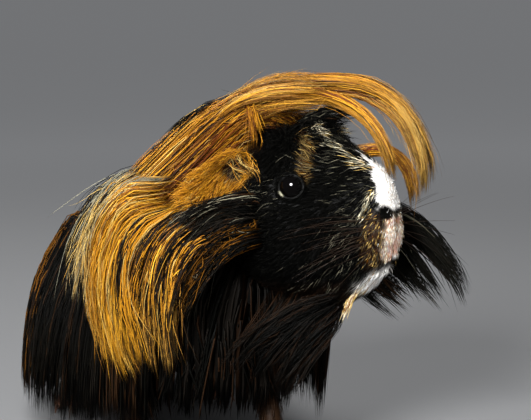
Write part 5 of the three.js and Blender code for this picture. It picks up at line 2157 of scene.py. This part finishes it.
@dataclass(frozen=True)
class Claws:
    """The claws of all four feet."""

    wide: float = 0.95
    deep: float = 1.15

    def build(self) -> None:
        """Makes the claws as one piece."""
        shells = []
        for leg in LEGS.values():
            for line in toe_lines(leg["foot"]):
                shell = Loft(line["claw"], self.ring, (0, 1, 0), 12, 12).shell()
                points = foot_turn(leg, shell.points)
                points[:, 2] = np.maximum(points[:, 2], CLAW_HEIGHT)
                shells.append(Shell(points, outward(points, shell.faces)))
        piece = Shell.joined(shells).object("claws")
        piece.data.materials.append(HornFinish("claw_horn", UMBER, LEATHER).material())
        declare(piece, Slot.FOOT, *[f"{name}_foot" for name in LEG_NAMES])

    def ring(self, t: Array) -> tuple:
        """A claw's section at shares of its length."""
        taper = 1 - 0.75 * t
        return self.wide * taper, self.deep * taper, self.deep * taper, 0, rounding(t, 0.12, 0.12)


@dataclass(frozen=True)
class Whiskers:
    """Long stiff whiskers: each a tapered rod that Geometry Nodes sweep along its line."""

    seed: int = 61
    root_radius: float = 0.11
    tip_radius: float = 0.03

    def lines(self) -> list[Array]:
        """The whiskers' middle lines, in the animal's frame."""
        rng = np.random.default_rng(self.seed)
        made = []
        for side, ahead, aside in ((-1, -0.15, 0.8), (1, 0.55, 0.6)):
            for row in range(4):
                for place in range(6):
                    root = np.array([30 - 1.7 * place, side * (8.6 + 1.1 * place), -12.0 - 3.0 * row])
                    length = rng.uniform(20, 30) + 6 * (side > 0)
                    way = np.array([ahead - 0.14 * place, side * (aside + 0.08 * place), 0.16 - 0.16 * row])
                    way = unit(unit(way) + 0.1 * rng.normal(size=3))
                    t = np.linspace(0, 1, 9)[:, None]
                    bend = np.array([-0.5, 0, -0.35 + 0.25 * rng.normal()]) * length * 0.3
                    made.append(from_head(root - way * 1.2 + way * length * t + bend * t * t))
        return made

    def build(self) -> None:
        """Sweeps the whiskers and makes them one piece."""
        lines = self.lines()
        starts = np.cumsum([0] + [len(line) for line in lines])
        edges = [(i, i + 1) for a, b in zip(starts[:-1], starts[1:]) for i in range(a, b - 1)]
        mesh = bpy.data.meshes.new("whisker_lines")
        mesh.from_pydata(((np.concatenate(lines) + SHIFT) * MM).tolist(), edges, [])
        carrier = bpy.data.objects.new("whisker_lines", mesh)
        bpy.context.scene.collection.objects.link(carrier)
        modifier = carrier.modifiers.new("sweep", "NODES")
        modifier.node_group = self.tree(HornFinish("whisker_horn", SOOT, UMBER, 0.4).material())
        sizes = {"Root radius": self.root_radius * MM, "Tip radius": self.tip_radius * MM}
        for item in modifier.node_group.interface.items_tree:
            if item.item_type == "SOCKET" and item.name in sizes:
                modifier[item.identifier] = sizes[item.name]
        evaluated = carrier.evaluated_get(bpy.context.evaluated_depsgraph_get())
        piece = bpy.data.objects.new("whiskers", bpy.data.meshes.new_from_object(evaluated))
        bpy.context.scene.collection.objects.link(piece)
        bpy.data.objects.remove(carrier)
        declare(piece, Slot.DARK)

    @staticmethod
    def tree(horn: bpy.types.Material) -> bpy.types.NodeTree:
        """The node tree that turns lines into tapered rods.

        Args:
            horn: the material of the rods.
        Returns:
            The tree.
        """
        tree = bpy.data.node_groups.new("tapered_rods", "GeometryNodeTree")
        face = tree.interface
        face.new_socket("Geometry", in_out="INPUT", socket_type="NodeSocketGeometry")
        for name in ("Root radius", "Tip radius"):
            face.new_socket(name, in_out="INPUT", socket_type="NodeSocketFloat")
        face.new_socket("Geometry", in_out="OUTPUT", socket_type="NodeSocketGeometry")
        add, link = tree.nodes.new, tree.links.new
        given, done = add("NodeGroupInput"), add("NodeGroupOutput")
        curve, along = add("GeometryNodeMeshToCurve"), add("GeometryNodeSplineParameter")
        link(given.outputs[0], curve.inputs[0])
        taper = add("ShaderNodeMapRange")
        link(along.outputs["Factor"], taper.inputs["Value"])
        link(given.outputs[1], taper.inputs["To Min"])
        link(given.outputs[2], taper.inputs["To Max"])
        circle = add("GeometryNodeCurvePrimitiveCircle")
        circle.inputs["Resolution"].default_value = 5
        circle.inputs["Radius"].default_value = 1.0
        sweep = add("GeometryNodeCurveToMesh")
        sweep.inputs["Fill Caps"].default_value = True
        link(curve.outputs[0], sweep.inputs["Curve"])
        link(circle.outputs[0], sweep.inputs["Profile Curve"])
        link(taper.outputs["Result"], sweep.inputs["Scale"])
        real, dress = add("GeometryNodeRealizeInstances"), add("GeometryNodeSetMaterial")
        dress.inputs["Material"].default_value = horn
        link(sweep.outputs[0], real.inputs[0])
        link(real.outputs[0], dress.inputs["Geometry"])
        link(dress.outputs[0], done.inputs[0])
        return tree


# ---- the studio -----------------------------------------------------------------------------------
@dataclass(frozen=True)
class Lamp:
    """A round soft light: its place round the animal in degrees, its distance and size in m, and its power.

    Glossy surfaces reflect it where it is mirrored.
    """

    name: str
    azimuth: float
    elevation: float
    distance: float
    size: float
    power: float
    mirrored: bool = True


@dataclass(frozen=True)
class Studio:
    """A pale floor that sweeps up behind the animal, soft lights, and the camera, which looks at a target."""

    distance: float = 650.0
    azimuth: float = 72.0
    elevation: float = 7.5
    target: Point = (18.37, 24.10, 99.09)
    frame_width: float = 198.1
    sensor: float = 36.0
    inner_radius: float = 1200.0
    floor_radius: float = 3200.0
    bend_radius: float = 900.0
    wall_height: float = 3600.0
    pale_radius: float = 250.0
    grey_radius: float = 1300.0
    pale: Point = (0.15, 0.152, 0.155)
    grey: Point = (0.07, 0.071, 0.073)
    # the far paper's glow: painted light that evens out the fall of the lamps' light
    glow: Point = (0.15, 0.153, 0.159)
    daylight: Point = (0.09, 0.092, 0.096)
    lamps: tuple[Lamp, ...] = (
        Lamp("key", 52, 26, 0.9, 0.3, 21),
        Lamp("fill", 112, 4, 1.3, 0.9, 10, mirrored=False),
        Lamp("top", 30, 75, 1.1, 0.6, 9, mirrored=False),
        Lamp("rim", -75, 55, 1.0, 0.5, 7),
    )

    def placed(self, name: str, data: bpy.types.ID, azimuth: float, elevation: float,
               distance: float) -> bpy.types.Object:
        """A camera or light that faces the target.

        Args:
            name: its name.
            data: the camera or light.
            azimuth: where it stands round the animal, in degrees.
            elevation: how high it stands, in degrees.
            distance: how far from the target it stands, in metres.
        Returns:
            The object in the scene.
        """
        a, e = math.radians(azimuth), math.radians(elevation)
        way = np.array([math.sin(a) * math.cos(e), -math.cos(a) * math.cos(e), math.sin(e)])
        made = bpy.data.objects.new(name, data)
        made.location = (np.array(self.target) + SHIFT) * MM + way * distance
        made.rotation_euler = Vector(-way).to_track_quat("-Z", "Y").to_euler()
        bpy.context.scene.collection.objects.link(made)
        return made

    def camera(self) -> None:
        """Makes the scene's camera."""
        data = bpy.data.cameras.new("camera")
        data.sensor_width, data.lens = self.sensor, self.sensor * self.distance / self.frame_width
        data.clip_start, data.clip_end = 0.05, 50
        made = self.placed("camera", data, self.azimuth, self.elevation, self.distance * MM)
        bpy.context.scene.camera = made

    def light(self, lamp: Lamp) -> None:
        """Adds a light."""
        data = bpy.data.lights.new(lamp.name, "AREA")
        data.shape, data.size, data.energy = "DISK", lamp.size, lamp.power
        made = self.placed(lamp.name, data, lamp.azimuth, lamp.elevation, lamp.distance)
        made.visible_glossy = lamp.mirrored

    def ground(self) -> None:
        """Makes the floor and the round backdrop that it rises into, in one sheet."""
        turns = 96
        angle = np.arange(turns) * 2 * math.pi / turns
        bend = np.radians(np.linspace(0, 90, 9))
        out, up = self.bend_radius * np.sin(bend), self.bend_radius * np.cos(bend)
        widest = self.floor_radius + self.bend_radius
        radii = np.concatenate([[self.inner_radius], self.floor_radius + out, [widest]])
        heights = np.concatenate([[0], self.bend_radius - up, [self.wall_height]])
        rings = [columns(r * np.cos(angle), r * np.sin(angle), z) for r, z in zip(radii, heights)]
        points = np.vstack([[[0, 0, 0]], *rings]) - SHIFT * [1, 1, 0]
        k = np.arange(turns)
        quads = ring_quads(len(radii), turns, 1)
        centre = columns(0, 1 + k, 1 + (k + 1) % turns)
        faces = np.concatenate([centre, quads[:, [0, 2, 1]], quads[:, [0, 3, 2]]])
        floor = Shell(points, faces).object("floor")
        floor.data.materials.append(self.paper())
        floor.visible_glossy = False

    def paper(self) -> bpy.types.Material:
        """Matt paper, pale where the animal stands and an even grey further off, where it also glows as
        painted light that evens out the fall of the lamps' light.
        """
        shader = Shader("floor_paper")
        far = shader.node("ShaderNodeVectorMath", {"operation": "LENGTH"}, {0: shader.place()})
        share = shader.node("ShaderNodeMapRange", {"interpolation_type": "SMOOTHSTEP"}, {
            "Value": far.outputs["Value"], "From Min": self.pale_radius * MM,
            "From Max": self.grey_radius * MM,
        }).outputs["Result"]
        return shader.finish({
            "Base Color": shader.blend(share, self.pale, self.grey), "Emission Strength": 1.0,
            "Roughness": 0.9,
            "Emission Color": shader.blend(share, (0, 0, 0), self.glow), "Specular IOR Level": 0.1,
        })

    def world(self) -> None:
        """Sets the even light that comes from all round."""
        world = bpy.data.worlds.new("studio")
        world.use_nodes = True
        inputs = world.node_tree.nodes["Background"].inputs
        inputs["Color"].default_value, inputs["Strength"].default_value = (*self.daylight, 1), 1.0
        bpy.context.scene.world = world

    def build(self) -> None:
        """Sets up the whole studio."""
        self.camera()
        self.ground()
        self.world()
        for lamp in self.lamps:
            self.light(lamp)
        bpy.context.scene.view_settings.view_transform = "Standard"


def main() -> None:
    """Builds the animal and its studio."""
    logging.basicConfig(level=logging.INFO, format="%(message)s")
    shell = Skin().build()
    skin = shell.object("skin")
    skin.data.materials.append(SkinFinish().material())
    declare(skin, Slot.DARK, *FLESH, *[f"{name}_leg" for name in LEG_NAMES])
    Eyes().build()
    Claws().build()
    Whiskers().build()
    Coat(SkinSurface(shell)).build()
    Studio().build()
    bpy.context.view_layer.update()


if __name__ == "__main__":
    main()
